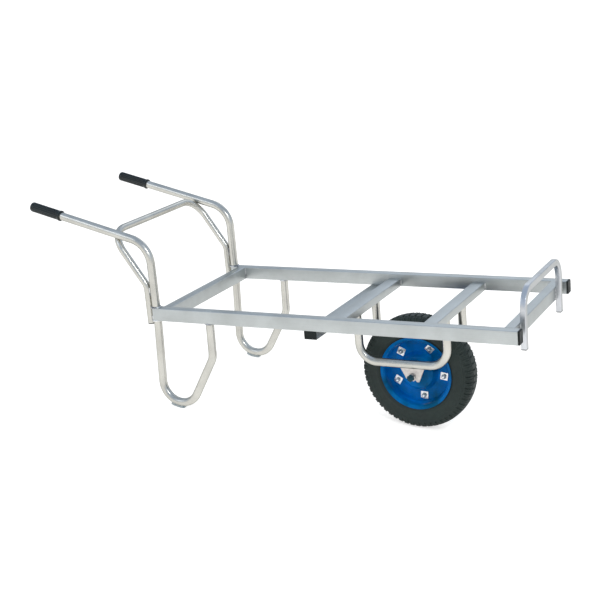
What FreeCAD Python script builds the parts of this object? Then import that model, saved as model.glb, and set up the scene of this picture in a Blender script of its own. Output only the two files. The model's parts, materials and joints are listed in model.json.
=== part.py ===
import FreeCAD, Part
import math
import os

# One-wheel harvest trolley, in millimetres.
# It is built with its axle at the origin and its bed level: +X to the front,
# Y across, +Z up. place() then tips the bed by bed_pitch and sets it on the floor.

# Bed
bed_pitch = 6.7
bed_width = 522.0
rail_width = 30.0
rail_height = 40.0
rail_wall = 2.0
rail_front_x = 395.0
rail_tail = 6.0
bed_underside_z = 192.0
cap_thickness = 6.0
cap_plug_length = 18.0
cap_plug_wall = 2.0
plug_gap = 0.1
cross_depth = 30.0
front_cross_front_x = 379.5
rear_cross_gap = 20.0
bearer_depth = 40.0
bearer_height = 25.0
under_tube_x = -228.0
under_tube_depth = 40.0
under_tube_height = 25.0
plug_rim = 2.0

# Handles and leg loops
tube_diameter = 25.4
tube_wall = 2.0
leg_rear_x = -765.0
leg_spacing = 189.0
leg_lean = 2.5
leg_lean_z = 176.0
leg_lean_bend = 200.0
knee_setback = 2.5
handle_slope = 14.7
handle_bend = 80.0
handle_corner_z = 432.0
handle_length = 437.0
loop_bend = 65.0
loop_slant = 59.5
knee_bend = 55.0
shoe_thickness = 5.0
shoe_width = 16.0
shoe_length = 46.0
shoe_angle = 258.0

# Grips
grip_length = 109.0
grip_diameter = 31.0
grip_end = 7.0
grip_flange_diameter = 34.0
grip_flange = 5.0
grip_grooves = 16
grip_groove_radius = 1.2

# Hoops
rear_hoop_diameter = 22.2
rear_hoop_wall = 1.5
rear_hoop_bottom_z = 181.0
rear_hoop_elbow_z = 300.0
rear_hoop_slant = 56.0
rear_hoop_reach = 200.0
rear_hoop_bend = 70.0
rear_hoop_elbow_bend = 40.0
hoop_touch_gap = 0.1
front_hoop_depth = 16.0
front_hoop_width = 20.0
front_hoop_wall = 1.5
front_hoop_span = 354.0
front_hoop_bottom_z = 156.0
front_hoop_top_z = 328.0
front_hoop_bend = 55.0
foot_cap = 3.0
foot_plug = 12.0

# Wheel brackets and axle
bracket_y = 70.0
bracket_rear_x = -163.0
bracket_front_x = 119.0
bracket_low_z = 42.0
bracket_bend = 57.0
plate_thickness = 5.0
plate_centre_y = 66.5
plate_top_rear_x = -41.0
plate_top_front_x = 47.0
plate_prong = (-16.4, -6.2)
plate_mouth = (-13.2, 2.7)
plate_hook = (2.0, -10.1)
plate_hook_low = (5.5, -12.9)
plate_notch = (12.5, -7.9)
plate_lobe_rear_x = 16.5
plate_lobe_front_x = 24.1
plate_low_z = -13.8
plate_corner = 2.5
axle_diameter = 12.0
axle_end_y = 83.0
slot_clearance = 0.6
slot_angle = 216.6
washer_diameter = 20.0
washer_thickness = 2.5
nut_across = 19.0
nut_height = 10.0
lock_nut_height = 7.0

# Wheel
wheel_diameter = 356.0
tyre_half_width = 37.5
lug_count = 56
lug_gap = 8.0
lug_depth = 5.0
rim_sheet = 2.0
rim_flange_radius = 114.5
rim_flange_y = 34.0
bead_seat_radius = 103.0
well_radius = 100.0
dish_radius = 60.0
dome_radius = 50.0
dome_y = 27.0
pocket_y = 40.0
bolt_circle_radius = 80.0
bolt_count = 5
bolt_start_angle = 62.5
bolt_diameter = 8.0
bolt_head_across = 13.0
bolt_head_height = 5.5
rim_nut_height = 6.5
bolt_end = 3.5
square_washer = 24.0
square_washer_thickness = 2.0
bearing_outer_radius = 16.0
bearing_bore_radius = 6.0
bearing_width = 10.0
bearing_race = 2.6
ball_radius = 2.35
ball_count = 7
running_gap = 0.05
seal_thickness = 1.2
spacer_radius = 9.0
valve_angle = 43.0
valve_radius = 3.0
valve_length = 30.0
valve_y = 7.0
valve_gap = 0.3
valve_cap_radius = 4.0
valve_cap_length = 11.0

# Welds
weld_radius = 3.2

# Values that follow from the ones above
rail_top_z = bed_underside_z + rail_height
rail_centre_y = (bed_width - rail_width) / 2
rail_inner_y = bed_width / 2 - rail_width
tube_radius = tube_diameter / 2
wheel_radius = wheel_diameter / 2
rail_rear_x = leg_rear_x - rail_tail
rear_cross_rear_x = leg_rear_x + rear_cross_gap
leg_front_x = leg_rear_x + leg_spacing
knee_x = leg_front_x - knee_setback
pitch_rad = math.radians(bed_pitch)
lean_rise = math.tan(math.radians(leg_lean))

pieces = {}


def vec(x, y, z):
    return FreeCAD.Vector(x, y, z)


def block(x0, x1, y0, y1, z0, z1):
    return Part.makeBox(x1 - x0, y1 - y0, z1 - z0, vec(x0, y0, z0))


def rod_y(radius, y0, y1, x=0.0, z=0.0):
    return Part.makeCylinder(radius, y1 - y0, vec(x, y0, z), vec(0, 1, 0))


def mirror_y(shape):
    return shape.mirror(vec(0, 0, 0), vec(0, 1, 0))


def add_pair(name, near):
    """The near side is the right hand side of someone pushing the trolley."""
    pieces[name + "_right"] = near
    pieces[name + "_left"] = mirror_y(near)


def rounded_path(points, bends):
    """Straight runs joined by arcs, one bend radius for each inner point."""
    edges = []
    start = points[0]
    for i, bend in enumerate(bends):
        corner = points[i + 1]
        before = (points[i] - corner).normalize()
        after = (points[i + 2] - corner).normalize()
        half = before.getAngle(after) / 2
        reach = bend / math.tan(half)
        first = corner + before * reach
        last = corner + after * reach
        middle = (before + after).normalize()
        summit = corner + middle * (bend / math.sin(half) - bend)
        edges.append(Part.makeLine(start, first))
        edges.append(Part.Arc(first, summit, last).toShape())
        start = last
    edges.append(Part.makeLine(start, points[-1]))
    return Part.Wire(edges)


def round_bar(points, bends, radius):
    path = rounded_path(points, bends)
    heading = points[1] - points[0]
    ring = Part.Wire(Part.makeCircle(radius, points[0], heading))
    return path.makePipeShell([ring], True, False)


def round_tube(points, bends, radius, wall):
    outer = round_bar(points, bends, radius)
    inner = round_bar(points, bends, radius - wall)
    return outer.cut(inner)


def box_tube_x(x0, x1, y0, y1, z0, z1, wall):
    outer = block(x0, x1, y0, y1, z0, z1)
    hollow = block(x0, x1, y0 + wall, y1 - wall, z0 + wall, z1 - wall)
    return outer.cut(hollow)


def box_tube_y(x0, x1, y0, y1, z0, z1, wall):
    outer = block(x0, x1, y0, y1, z0, z1)
    hollow = block(x0 + wall, x1 - wall, y0, y1, z0 + wall, z1 - wall)
    return outer.cut(hollow)


def revolve_profile(points):
    """Points are (radius, y) pairs of a closed outline turned about the axle."""
    corners = [vec(r, y, 0) for r, y in points]
    wire = Part.makePolygon(corners + [corners[0]])
    return Part.Face(wire).revolve(vec(0, 0, 0), vec(0, 1, 0), 360)


def sheet_outline(line, thickness):
    """A closed outline for a sheet whose one face follows the given line."""
    offset = []
    last = len(line) - 1
    for i in range(len(line)):
        r0, y0 = line[max(i - 1, 0)]
        r1, y1 = line[i]
        r2, y2 = line[min(i + 1, last)]
        into = vec(r1 - r0, y1 - y0, 0)
        out = vec(r2 - r1, y2 - y1, 0)
        if i == 0:
            into = out
        if i == last:
            out = into
        into.normalize()
        out.normalize()
        side = vec(-into.y - out.y, into.x + out.x, 0)
        side.normalize()
        spread = side.dot(vec(-into.y, into.x, 0))
        offset.append((r1 + side.x * thickness / spread, y1 + side.y * thickness / spread))
    return list(line) + offset[::-1]


def around(shape, count, start=0.0):
    """Copies set evenly about the axle, the first one turned by start."""
    copies = []
    for i in range(count):
        turned = shape.copy()
        turned.rotate(vec(0, 0, 0), vec(0, 1, 0), -(start + i * 360.0 / count))
        copies.append(turned)
    return copies


def hexagon_y(across, y0, y1, x=0.0, z=0.0, turn=0.0):
    corners = []
    for i in range(7):
        angle = math.radians(60 * i + turn)
        reach = across / math.sqrt(3)
        corners.append(vec(x + reach * math.cos(angle), y0, z + reach * math.sin(angle)))
    return Part.Face(Part.makePolygon(corners)).extrude(vec(0, y1 - y0, 0))


def weld_ring(radius, centre, axis, size=weld_radius):
    return Part.makeTorus(radius + size * 0.3, size, centre, axis)


def leaning_x(z):
    """Where the rear leg's centre line is at a height below the bed."""
    return leg_rear_x - (leg_lean_z - z) * lean_rise


def loop_centre(y):
    """The loop touches the leaning leg and stands on the floor once the bed is tipped."""
    foot_z = loop_bend + tube_radius + shoe_thickness - wheel_radius
    level_x = leaning_x(0) + loop_bend / math.cos(math.radians(leg_lean))
    slope = math.tan(pitch_rad)
    x = (level_x + lean_rise * foot_z / math.cos(pitch_rad)) / (1 + lean_rise * slope)
    return vec(x, y, foot_z / math.cos(pitch_rad) - x * slope)


def handle_points():
    """Centre line of one continuous tube: handle, rear leg, loop and front leg."""
    slope = math.radians(handle_slope)
    slant = math.radians(loop_slant)
    y = -rail_centre_y
    corner = vec(leg_rear_x, y, handle_corner_z)
    grip_end_point = corner + vec(-math.cos(slope), 0, math.sin(slope)) * handle_length
    lean_start = vec(leg_rear_x, y, leg_lean_z)
    centre = loop_centre(y)
    # The slanted run touches the loop's circle and ends at the knee.
    touch = centre + vec(math.sin(slant), 0, -math.cos(slant)) * loop_bend
    run = vec(math.cos(slant), 0, math.sin(slant))
    low = touch - run * ((touch.x - leaning_x(touch.z)) / (run.x - lean_rise * run.z))
    knee = touch + run * ((knee_x - touch.x) / run.x)
    top = vec(leg_front_x, y, bed_underside_z)
    return [grip_end_point, corner, lean_start, low, knee, top], centre


def make_handles():
    points, foot_centre = handle_points()
    bends = [handle_bend, leg_lean_bend, loop_bend, knee_bend]
    outer = round_bar(points, bends, tube_radius)
    add_pair("handle_leg_tube", round_tube(points, bends, tube_radius, tube_wall))
    make_grip(points)
    make_shoe(foot_centre, outer)
    return outer


def make_grip(points):
    heading = (points[1] - points[0]).normalize()
    body = Part.makeCylinder(grip_diameter / 2, grip_length + grip_end)
    end_edge = [e for e in body.Edges if len(e.Vertexes) == 1 and e.BoundBox.ZMax < 0.1]
    body = body.makeFillet(grip_end - 0.5, end_edge)
    flange_at = vec(0, 0, grip_length + grip_end - grip_flange)
    flange = Part.makeCylinder(grip_flange_diameter / 2, grip_flange, flange_at)
    flange = flange.makeFillet(1.5, flange.Edges[:1])
    body = body.fuse(flange)
    bore = Part.makeCylinder(tube_radius, grip_length + 1, vec(0, 0, grip_end))
    body = body.cut(bore)
    groove_length = grip_length - 3 * grip_flange
    cutters = []
    for i in range(grip_grooves):
        angle = 2 * math.pi * i / grip_grooves
        reach = grip_diameter / 2 + grip_groove_radius * 0.35
        at = vec(reach * math.cos(angle), reach * math.sin(angle), grip_end + 4)
        cutters.append(Part.makeCylinder(grip_groove_radius, groove_length, at))
    body = body.cut(cutters)
    turn = FreeCAD.Rotation(vec(0, 0, 1), heading)
    body.Placement = FreeCAD.Placement(points[0] - heading * grip_end, turn)
    add_pair("grip", body)


def make_shoe(centre, tube):
    """A curved wear strip welded under the loop."""
    span = math.degrees(shoe_length / (loop_bend + tube_radius))
    outer = loop_bend + tube_radius + shoe_thickness
    inner = loop_bend + tube_radius - 4
    half = shoe_width / 2
    ring = Part.makeCylinder(outer, shoe_width, centre + vec(0, -half, 0), vec(0, 1, 0))
    ring = ring.cut(Part.makeCylinder(inner, shoe_width, centre + vec(0, -half, 0), vec(0, 1, 0)))
    sides = []
    for turn in (shoe_angle - span / 2, shoe_angle + span / 2):
        angle = math.radians(turn)
        sides.append(centre + vec(math.cos(angle), 0, math.sin(angle)) * (outer * 1.5) + vec(0, -half, 0))
    wedge = Part.makePolygon([centre + vec(0, -half, 0), sides[0], sides[1], centre + vec(0, -half, 0)])
    wedge = Part.Face(wedge).extrude(vec(0, shoe_width, 0))
    add_pair("leg_shoe", ring.common(wedge).cut(tube))


def make_rails(tube):
    outer_y = -bed_width / 2
    rail = box_tube_x(
        rail_rear_x, rail_front_x, outer_y, outer_y + rail_width, bed_underside_z, rail_top_z, rail_wall
    )
    add_pair("side_rail", rail.cut(tube))
    inset = rail_wall + plug_gap
    flange = block(
        rail_front_x,
        rail_front_x + cap_thickness,
        outer_y,
        outer_y + rail_width,
        bed_underside_z,
        rail_top_z,
    )
    rim = [e for e in flange.Edges if e.BoundBox.XMin > rail_front_x + cap_thickness - 0.1]
    flange = flange.makeFillet(2.0, rim)
    plug = box_tube_x(
        rail_front_x - cap_plug_length,
        rail_front_x,
        outer_y + inset,
        outer_y + rail_width - inset,
        bed_underside_z + inset,
        rail_top_z - inset,
        cap_plug_wall,
    )
    add_pair("rail_cap_front", flange.fuse(plug))


def make_cross_members():
    inner = rail_inner_y
    pieces["front_crossmember"] = box_tube_y(
        front_cross_front_x - cross_depth,
        front_cross_front_x,
        -inner,
        inner,
        bed_underside_z,
        rail_top_z,
        rail_wall,
    )
    pieces["rear_crossmember"] = box_tube_y(
        rear_cross_rear_x,
        rear_cross_rear_x + cross_depth,
        -inner,
        inner,
        bed_underside_z,
        rail_top_z,
        rail_wall,
    )
    top = bed_underside_z + bearer_height
    for name, x in (("rear", bracket_rear_x), ("front", bracket_front_x)):
        half = bearer_depth / 2
        pieces["wheel_bearer_" + name] = box_tube_y(
            x - half, x + half, -inner, inner, bed_underside_z, top, rail_wall
        )


def make_under_tube():
    half = under_tube_depth / 2
    low = bed_underside_z - under_tube_height
    end = bed_width / 2 - plug_rim
    x0 = under_tube_x - half
    x1 = under_tube_x + half
    pieces["under_tube"] = box_tube_y(x0, x1, -end, end, low, bed_underside_z, rail_wall)
    rim = block(x0, x1, -end - plug_rim, -end, low, bed_underside_z)
    inset = rail_wall + plug_gap
    plug = box_tube_y(
        x0 + inset,
        x1 - inset,
        -end,
        -end + cap_plug_length,
        low + inset,
        bed_underside_z - inset,
        cap_plug_wall,
    )
    add_pair("under_tube_plug", rim.fuse(plug))


def make_rear_hoop():
    radius = rear_hoop_diameter / 2
    x = leg_rear_x - tube_radius - radius - hoop_touch_gap
    slant = math.radians(rear_hoop_slant)
    y = rail_centre_y
    rise = vec(-math.cos(slant), 0, math.sin(slant))
    elbow = vec(x, -y, rear_hoop_elbow_z)
    corner = elbow + rise * rear_hoop_reach
    points = [
        vec(x, -y, rear_hoop_bottom_z),
        elbow,
        corner,
        vec(corner.x, y, corner.z),
        vec(x, y, rear_hoop_elbow_z),
        vec(x, y, rear_hoop_bottom_z),
    ]
    bends = [rear_hoop_elbow_bend, rear_hoop_bend, rear_hoop_bend, rear_hoop_elbow_bend]
    pieces["rear_hoop"] = round_tube(points, bends, radius, rear_hoop_wall)
    foot = vec(x, -y, rear_hoop_bottom_z)
    cap = Part.makeCylinder(radius, foot_cap, foot - vec(0, 0, foot_cap))
    cap = cap.fuse(Part.makeCylinder(radius - rear_hoop_wall - plug_gap, foot_plug, foot))
    add_pair("rear_hoop_cap", cap)


def front_hoop_bar(inset):
    """A square-cornered bar bent to the hoop's line, smaller all round by inset."""
    x = front_cross_front_x + front_hoop_depth / 2
    y = front_hoop_span / 2
    top = front_hoop_top_z - front_hoop_width / 2
    low = front_hoop_bottom_z
    points = [vec(x, -y, low), vec(x, -y, top), vec(x, y, top), vec(x, y, low)]
    path = rounded_path(points, [front_hoop_bend, front_hoop_bend])
    half_x = front_hoop_depth / 2 - inset
    half_y = front_hoop_width / 2 - inset
    corners = [
        vec(x - half_x, -y - half_y, low),
        vec(x + half_x, -y - half_y, low),
        vec(x + half_x, -y + half_y, low),
        vec(x - half_x, -y + half_y, low),
    ]
    outline = Part.makePolygon(corners + [corners[0]])
    return path.makePipeShell([outline], True, False)


def make_front_hoop():
    pieces["front_hoop"] = front_hoop_bar(0).cut(front_hoop_bar(front_hoop_wall))
    x = front_cross_front_x
    y = front_hoop_span / 2
    z = front_hoop_bottom_z
    half = front_hoop_width / 2
    rim = block(x, x + front_hoop_depth, -y - half, -y + half, z - foot_cap, z)
    inset = front_hoop_wall + plug_gap
    plug_half = half - inset
    plug = block(x + inset, x + front_hoop_depth - inset, -y - plug_half, -y + plug_half, z, z + foot_plug)
    add_pair("front_hoop_cap", rim.fuse(plug))


def bracket_points():
    y = -bracket_y
    return [
        vec(bracket_rear_x, y, bed_underside_z),
        vec(bracket_rear_x, y, bracket_low_z),
        vec(bracket_front_x, y, bracket_low_z),
        vec(bracket_front_x, y, bed_underside_z),
    ]


def make_brackets():
    bends = [bracket_bend, bracket_bend]
    outer = round_bar(bracket_points(), bends, tube_radius)
    add_pair("wheel_bracket", round_tube(bracket_points(), bends, tube_radius, tube_wall))
    y0 = -plate_centre_y - plate_thickness / 2
    plate = axle_plate(y0)
    add_pair("axle_plate", plate.cut(outer).cut(axle_slot(y0)))
    return outer


def axle_plate(y0):
    """A tapered plate, open round the axle to the rear, with a notch for a tab washer."""
    outline = [
        (plate_top_rear_x, bracket_low_z),
        plate_prong,
        plate_mouth,
        (0.0, 0.0),
        plate_hook,
        plate_hook_low,
        plate_notch,
        (plate_lobe_rear_x, plate_low_z),
        (plate_lobe_front_x, plate_low_z),
        (plate_top_front_x, bracket_low_z),
    ]
    corners = [vec(x, y0, z) for x, z in outline]
    plate = Part.Face(Part.makePolygon(corners + [corners[0]])).extrude(vec(0, plate_thickness, 0))
    lobe_edges = []
    for edge in plate.Edges:
        upright = abs(edge.tangentAt(edge.FirstParameter).y) > 0.9
        if upright and abs(edge.CenterOfMass.z - plate_low_z) < 0.01:
            lobe_edges.append(edge)
    return plate.makeFillet(plate_corner, lobe_edges)


def axle_slot(y0):
    """The drop-out that the axle slides into from below and behind."""
    half = axle_diameter / 2 + slot_clearance / 2
    eye = rod_y(half, y0 - 1, y0 + plate_thickness + 1)
    lane = block(0, 80, y0 - 1, y0 + plate_thickness + 1, -half, half)
    lane.rotate(vec(0, 0, 0), vec(0, 1, 0), -slot_angle)
    return eye.fuse(lane)


def make_axle():
    plate_out = plate_centre_y + plate_thickness / 2
    plate_in = plate_centre_y - plate_thickness / 2
    radius = axle_diameter / 2
    axle = rod_y(radius, -axle_end_y, axle_end_y)
    ends = [e for e in axle.Edges if len(e.Vertexes) == 1]
    pieces["axle"] = axle.makeChamfer(1.0, ends)
    bore = rod_y(radius, -axle_end_y - 5, axle_end_y + 5)
    washers = []
    nuts = []
    locks = []
    for sign in (-1, 1):
        y0, y1 = sorted((sign * plate_out, sign * (plate_out + washer_thickness)))
        washers.append(rod_y(washer_diameter / 2, y0, y1).cut(bore))
        outer = plate_out + washer_thickness
        y0, y1 = sorted((sign * outer, sign * (outer + nut_height)))
        nuts.append(hexagon_y(nut_across, y0, y1, turn=slot_angle).cut(bore))
        y0, y1 = sorted((sign * plate_in, sign * (plate_in - lock_nut_height)))
        locks.append(hexagon_y(nut_across, y0, y1, turn=25).cut(bore))
    pieces["axle_washers"] = Part.makeCompound(washers)
    pieces["axle_nuts"] = Part.makeCompound(nuts)
    pieces["axle_lock_nuts"] = Part.makeCompound(locks)
    start = pocket_y + 0.4
    stop = plate_in - lock_nut_height
    sleeves = [rod_y(spacer_radius, start, stop).cut(bore), rod_y(spacer_radius, -stop, -start).cut(bore)]
    pieces["axle_spacers"] = Part.makeCompound(sleeves)
    inside = pocket_y - bearing_width
    pieces["hub_spacer"] = rod_y(spacer_radius, -inside, inside).cut(bore)


def make_bearings():
    for side, sign in (("right", -1), ("left", 1)):
        y0, y1 = sorted((sign * (pocket_y - bearing_width), sign * pocket_y))
        inner_out = bearing_bore_radius + bearing_race
        outer_in = bearing_outer_radius - bearing_race
        middle = (inner_out + outer_in) / 2
        track = Part.makeTorus(middle, ball_radius + running_gap, vec(0, (y0 + y1) / 2, 0), vec(0, 1, 0))
        inner = rod_y(inner_out, y0, y1).cut(rod_y(bearing_bore_radius, y0, y1)).cut(track)
        outer = rod_y(bearing_outer_radius, y0, y1).cut(rod_y(outer_in, y0, y1)).cut(track)
        pieces["bearing_inner_" + side] = inner
        pieces["bearing_outer_" + side] = outer
        seal_inner = inner_out + 0.3
        for_seal = rod_y(outer_in - 0.05, y0, y1).cut(rod_y(seal_inner, y0, y1))
        edge = sign * pocket_y
        s0, s1 = sorted((edge, edge - sign * seal_thickness))
        pieces["bearing_seal_" + side] = for_seal.common(block(-20, 20, s0, s1, -20, 20))
    make_balls()


def make_balls():
    inner_out = bearing_bore_radius + bearing_race
    outer_in = bearing_outer_radius - bearing_race
    middle = (inner_out + outer_in) / 2
    balls = []
    for sign in (-1, 1):
        y = sign * (pocket_y - bearing_width / 2)
        balls += around(Part.makeSphere(ball_radius, vec(middle, y, 0)), ball_count)
    pieces["bearing_balls"] = Part.makeCompound(balls)


def rim_line():
    """The face of one pressed half towards the tyre, from the bearing pocket out."""
    lip = bearing_bore_radius + 5.5
    return [
        (lip, -pocket_y),
        (bearing_outer_radius, -pocket_y),
        (bearing_outer_radius, -dome_y + 3),
        (dome_radius - 8, -dome_y),
        (dome_radius, -dome_y + 5),
        (dish_radius, 0),
        (well_radius - 2, 0),
        (well_radius + 1, -11),
        (bead_seat_radius, -15),
        (bead_seat_radius + 1, -rim_flange_y + 4),
        (bead_seat_radius + 5, -rim_flange_y),
        (rim_flange_radius, -rim_flange_y - 2),
    ]


def make_rim():
    near = revolve_profile(sheet_outline(rim_line(), -rim_sheet))
    holes = around(rod_y(bolt_diameter / 2 + 0.2, -6, 6, bolt_circle_radius), bolt_count, bolt_start_angle)
    near = near.cut(holes)
    far = mirror_y(near).cut(valve_bar(valve_radius + valve_gap))
    pieces["rim_half_right"] = near
    pieces["rim_half_left"] = far
    head_y = rim_sheet + square_washer_thickness
    half = square_washer / 2
    plain = block(-half, half, -head_y, -rim_sheet, -half, half)
    plain = plain.cut(rod_y(bolt_diameter / 2, -head_y, -rim_sheet))
    turns = (45, 25, 30, 3, 8)
    washers = []
    heads = []
    nuts = []
    for i in range(bolt_count):
        angle = math.radians(bolt_start_angle + i * 360.0 / bolt_count)
        at = vec(bolt_circle_radius * math.cos(angle), 0, bolt_circle_radius * math.sin(angle))
        washer = plain.copy()
        washer.rotate(vec(0, 0, 0), vec(0, 1, 0), turns[i])
        washer.translate(at)
        washers.append(washer)
        head = hexagon_y(bolt_head_across, rim_sheet, rim_sheet + bolt_head_height, at.x, at.z, 35 * i)
        tip = head_y + rim_nut_height + bolt_end
        shank = rod_y(bolt_diameter / 2, -tip, rim_sheet, at.x, at.z)
        heads.append(head.fuse(shank))
        nut = hexagon_y(bolt_head_across, -head_y - rim_nut_height, -head_y, at.x, at.z, 20 * i)
        nuts.append(nut.cut(shank))
    pieces["square_washers"] = Part.makeCompound(washers)
    pieces["rim_bolts"] = Part.makeCompound(heads)
    pieces["rim_nuts"] = Part.makeCompound(nuts)


def valve_bar(radius, start=66.0, stop=104.0):
    bar = Part.makeCylinder(radius, stop - start, vec(start, valve_y, 0), vec(1, 0, 0))
    bar.rotate(vec(0, 0, 0), vec(0, 1, 0), -valve_angle)
    return bar


def make_valve():
    seat = bead_seat_radius + 2
    stem = valve_bar(valve_radius, seat - valve_length - 8, seat)
    foot = valve_bar(valve_radius + 3.5, seat, seat + 2.5)
    pieces["valve_stem"] = stem.fuse(foot)
    cap_start = seat - valve_length - 8 - 2
    cap = valve_bar(valve_cap_radius, cap_start, cap_start + valve_cap_length)
    pieces["valve_cap"] = cap.cut(valve_bar(valve_radius, cap_start + 2, seat))
    return stem.fuse(foot)


def make_tyre(valve):
    top = wheel_radius
    wide = tyre_half_width
    seat = bead_seat_radius + 1.2
    outer = [
        (seat, -rim_flange_y + 4.3),
        (seat + 3.5, -rim_flange_y + 0.6),
        (rim_flange_radius + 1.5, -rim_flange_y + 0.2),
        (rim_flange_radius + 4, -wide + 1.5),
        (top - 42, -wide),
        (top - 28, -wide),
        (top - 20, -wide + 1),
        (top - 17, -wide + 1.2),
        (top - 8, -wide + 4.5),
        (top - 3, -wide + 12),
        (top - 0.8, -wide + 24),
        (top, 0),
    ]
    inner = [
        (top - 13, 0),
        (top - 14.5, -wide + 17),
        (top - 24, -wide + 7),
        (top - 40, -wide + 5),
        (rim_flange_radius + 2, -wide + 11),
        (seat + 6, -rim_flange_y + 14),
        (seat, -rim_flange_y + 16),
    ]
    half = outer + inner
    near = revolve_profile(half)
    whole = near.fuse(mirror_y(near)).removeSplitter()
    y_edge = wide + 2
    gap = block(top - lug_depth, top + 4, -y_edge, -wide + 16, -lug_gap / 2, lug_gap / 2)
    far_gap = mirror_y(gap)
    cutters = around(gap, lug_count) + around(far_gap, lug_count, 180.0 / lug_count)
    whole = whole.cut(cutters)
    pieces["tyre"] = whole
    tube_outer = [(r - 0.3, y) for r, y in inner[:5]] + [(seat + 1, -15), (seat - 1, 0)]
    tube_inner = [
        (seat + 2, 0),
        (seat + 4, -13),
        (rim_flange_radius + 5, -wide + 14),
        (top - 40, -wide + 8),
        (top - 26, -wide + 10),
        (top - 17.5, -wide + 19),
        (top - 16.3, 0),
    ]
    ring = revolve_profile(tube_outer + tube_inner)
    ring = ring.fuse(mirror_y(ring)).removeSplitter()
    pieces["inner_tube"] = ring.cut(whole).cut(valve)


def make_welds(leg_tube, bracket_tube):
    """Beads round the tubes where they meet the bed."""
    y = -rail_centre_y
    up = vec(0, 0, 1)
    rail = block(rail_rear_x, rail_front_x, -bed_width / 2, -rail_inner_y, bed_underside_z, rail_top_z)
    beads = []
    for x, z in ((leg_rear_x, rail_top_z), (leg_rear_x, bed_underside_z), (leg_front_x, bed_underside_z)):
        bead = weld_ring(tube_radius, vec(x, y, z), up).cut(leg_tube).cut(rail)
        if x == leg_rear_x:
            bead = bead.cut(rear_hoop_keep_out())
        beads.append(bead)
    add_pair("leg_welds", Part.makeCompound(beads))
    beads = []
    top = bed_underside_z
    for x in (bracket_rear_x, bracket_front_x):
        bearer = block(x - 30, x + 30, -120, 0, top, top + 20)
        bead = weld_ring(tube_radius, vec(x, -bracket_y, top), up)
        beads.append(bead.cut(bracket_tube).cut(bearer))
    add_pair("bracket_welds", Part.makeCompound(beads))


def rear_hoop_keep_out():
    radius = rear_hoop_diameter / 2
    x = leg_rear_x - tube_radius - radius - hoop_touch_gap
    low = vec(x, -rail_centre_y, rear_hoop_bottom_z - foot_cap)
    return Part.makeCylinder(radius + 1, rear_hoop_elbow_z - rear_hoop_bottom_z, low)


def place():
    """Tip the bed, set the wheel on the floor and centre the trolley's length."""
    for shape in pieces.values():
        shape.rotate(vec(0, 0, 0), vec(0, 1, 0), -bed_pitch)
    low = pieces["grip_right"].optimalBoundingBox(False).XMin
    fronts = [pieces["front_hoop"], pieces["rail_cap_front_right"]]
    high = max(shape.optimalBoundingBox(False).XMax for shape in fronts)
    for shape in pieces.values():
        shape.translate(vec(-(low + high) / 2, 0, wheel_radius))


def build():
    leg_tube = make_handles()
    make_rails(leg_tube)
    make_cross_members()
    make_under_tube()
    make_rear_hoop()
    make_front_hoop()
    bracket_tube = make_brackets()
    make_axle()
    make_bearings()
    make_rim()
    make_tyre(make_valve())
    make_welds(leg_tube, bracket_tube)
    place()
    os.makedirs("parts", exist_ok=True)
    for name, shape in pieces.items():
        shape.exportStep("parts/" + name + ".step")


build()
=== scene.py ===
import json
import math
import random

import bpy
import bmesh
from mathutils import Matrix, Vector


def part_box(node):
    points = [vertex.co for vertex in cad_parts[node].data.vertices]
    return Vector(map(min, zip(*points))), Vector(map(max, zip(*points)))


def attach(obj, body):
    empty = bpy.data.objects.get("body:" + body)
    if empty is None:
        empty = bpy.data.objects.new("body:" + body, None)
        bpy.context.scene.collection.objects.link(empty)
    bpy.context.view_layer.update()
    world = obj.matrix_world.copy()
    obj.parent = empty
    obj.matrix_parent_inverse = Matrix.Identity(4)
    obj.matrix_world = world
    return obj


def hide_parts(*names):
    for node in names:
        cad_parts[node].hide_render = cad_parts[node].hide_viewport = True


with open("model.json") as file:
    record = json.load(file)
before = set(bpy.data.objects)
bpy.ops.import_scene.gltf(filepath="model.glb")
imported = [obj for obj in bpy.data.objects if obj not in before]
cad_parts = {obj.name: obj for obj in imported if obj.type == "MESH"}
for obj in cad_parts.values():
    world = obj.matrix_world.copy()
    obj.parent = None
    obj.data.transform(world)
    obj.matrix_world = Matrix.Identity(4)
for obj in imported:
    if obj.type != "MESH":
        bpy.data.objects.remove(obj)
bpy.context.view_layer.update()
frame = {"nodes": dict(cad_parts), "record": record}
SCENE = bpy.context.scene

# Lengths are in millimetres in bed coordinates: the axle is the origin, the bed is
# level, +X points to the front. BED carries them into the shared frame.
MM = 0.001
PITCH = math.radians(6.7)
AXLE_LOW, AXLE_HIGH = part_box("axle")
AXLE_AT = ((AXLE_LOW.x + AXLE_HIGH.x) / 2, 0, (AXLE_LOW.z + AXLE_HIGH.z) / 2)
BED = Matrix.Translation(AXLE_AT) @ Matrix.Rotation(-PITCH, 4, "Y")
X_AXIS = Vector((1, 0, 0))
Y_AXIS = Vector((0, 1, 0))
Z_AXIS = Vector((0, 0, 1))
SIDES = ((-1, "right"), (1, "left"))

RAIL_Y = 246.0
RAIL_WIDTH = 30.0
RAIL_HEIGHT = 40.0
RAIL_WALL = 2.0
RAIL_REAR_X = -771.0
RAIL_FRONT_X = 395.0
RAIL_INNER_Y = 231.0
RAIL_CORNER = 1.8
RAIL_INNER_CORNER = 0.8
BOX_CORNER = 1.6
BOX_INNER_CORNER = 0.6
BED_LOW_Z = 192.0
BED_TOP_Z = 232.0
BED_MIDDLE_Z = (BED_LOW_Z + BED_TOP_Z) / 2
CROSS_FRONT_X = 379.5
CROSS_REAR_X = -745.0
CROSS_DEPTH = 30.0
BEARER_DEPTH = 40.0
BEARER_HEIGHT = 25.0
UNDER_X = -228.0
UNDER_DEPTH = 40.0
UNDER_HEIGHT = 25.0
UNDER_END_Y = 259.0

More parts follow.
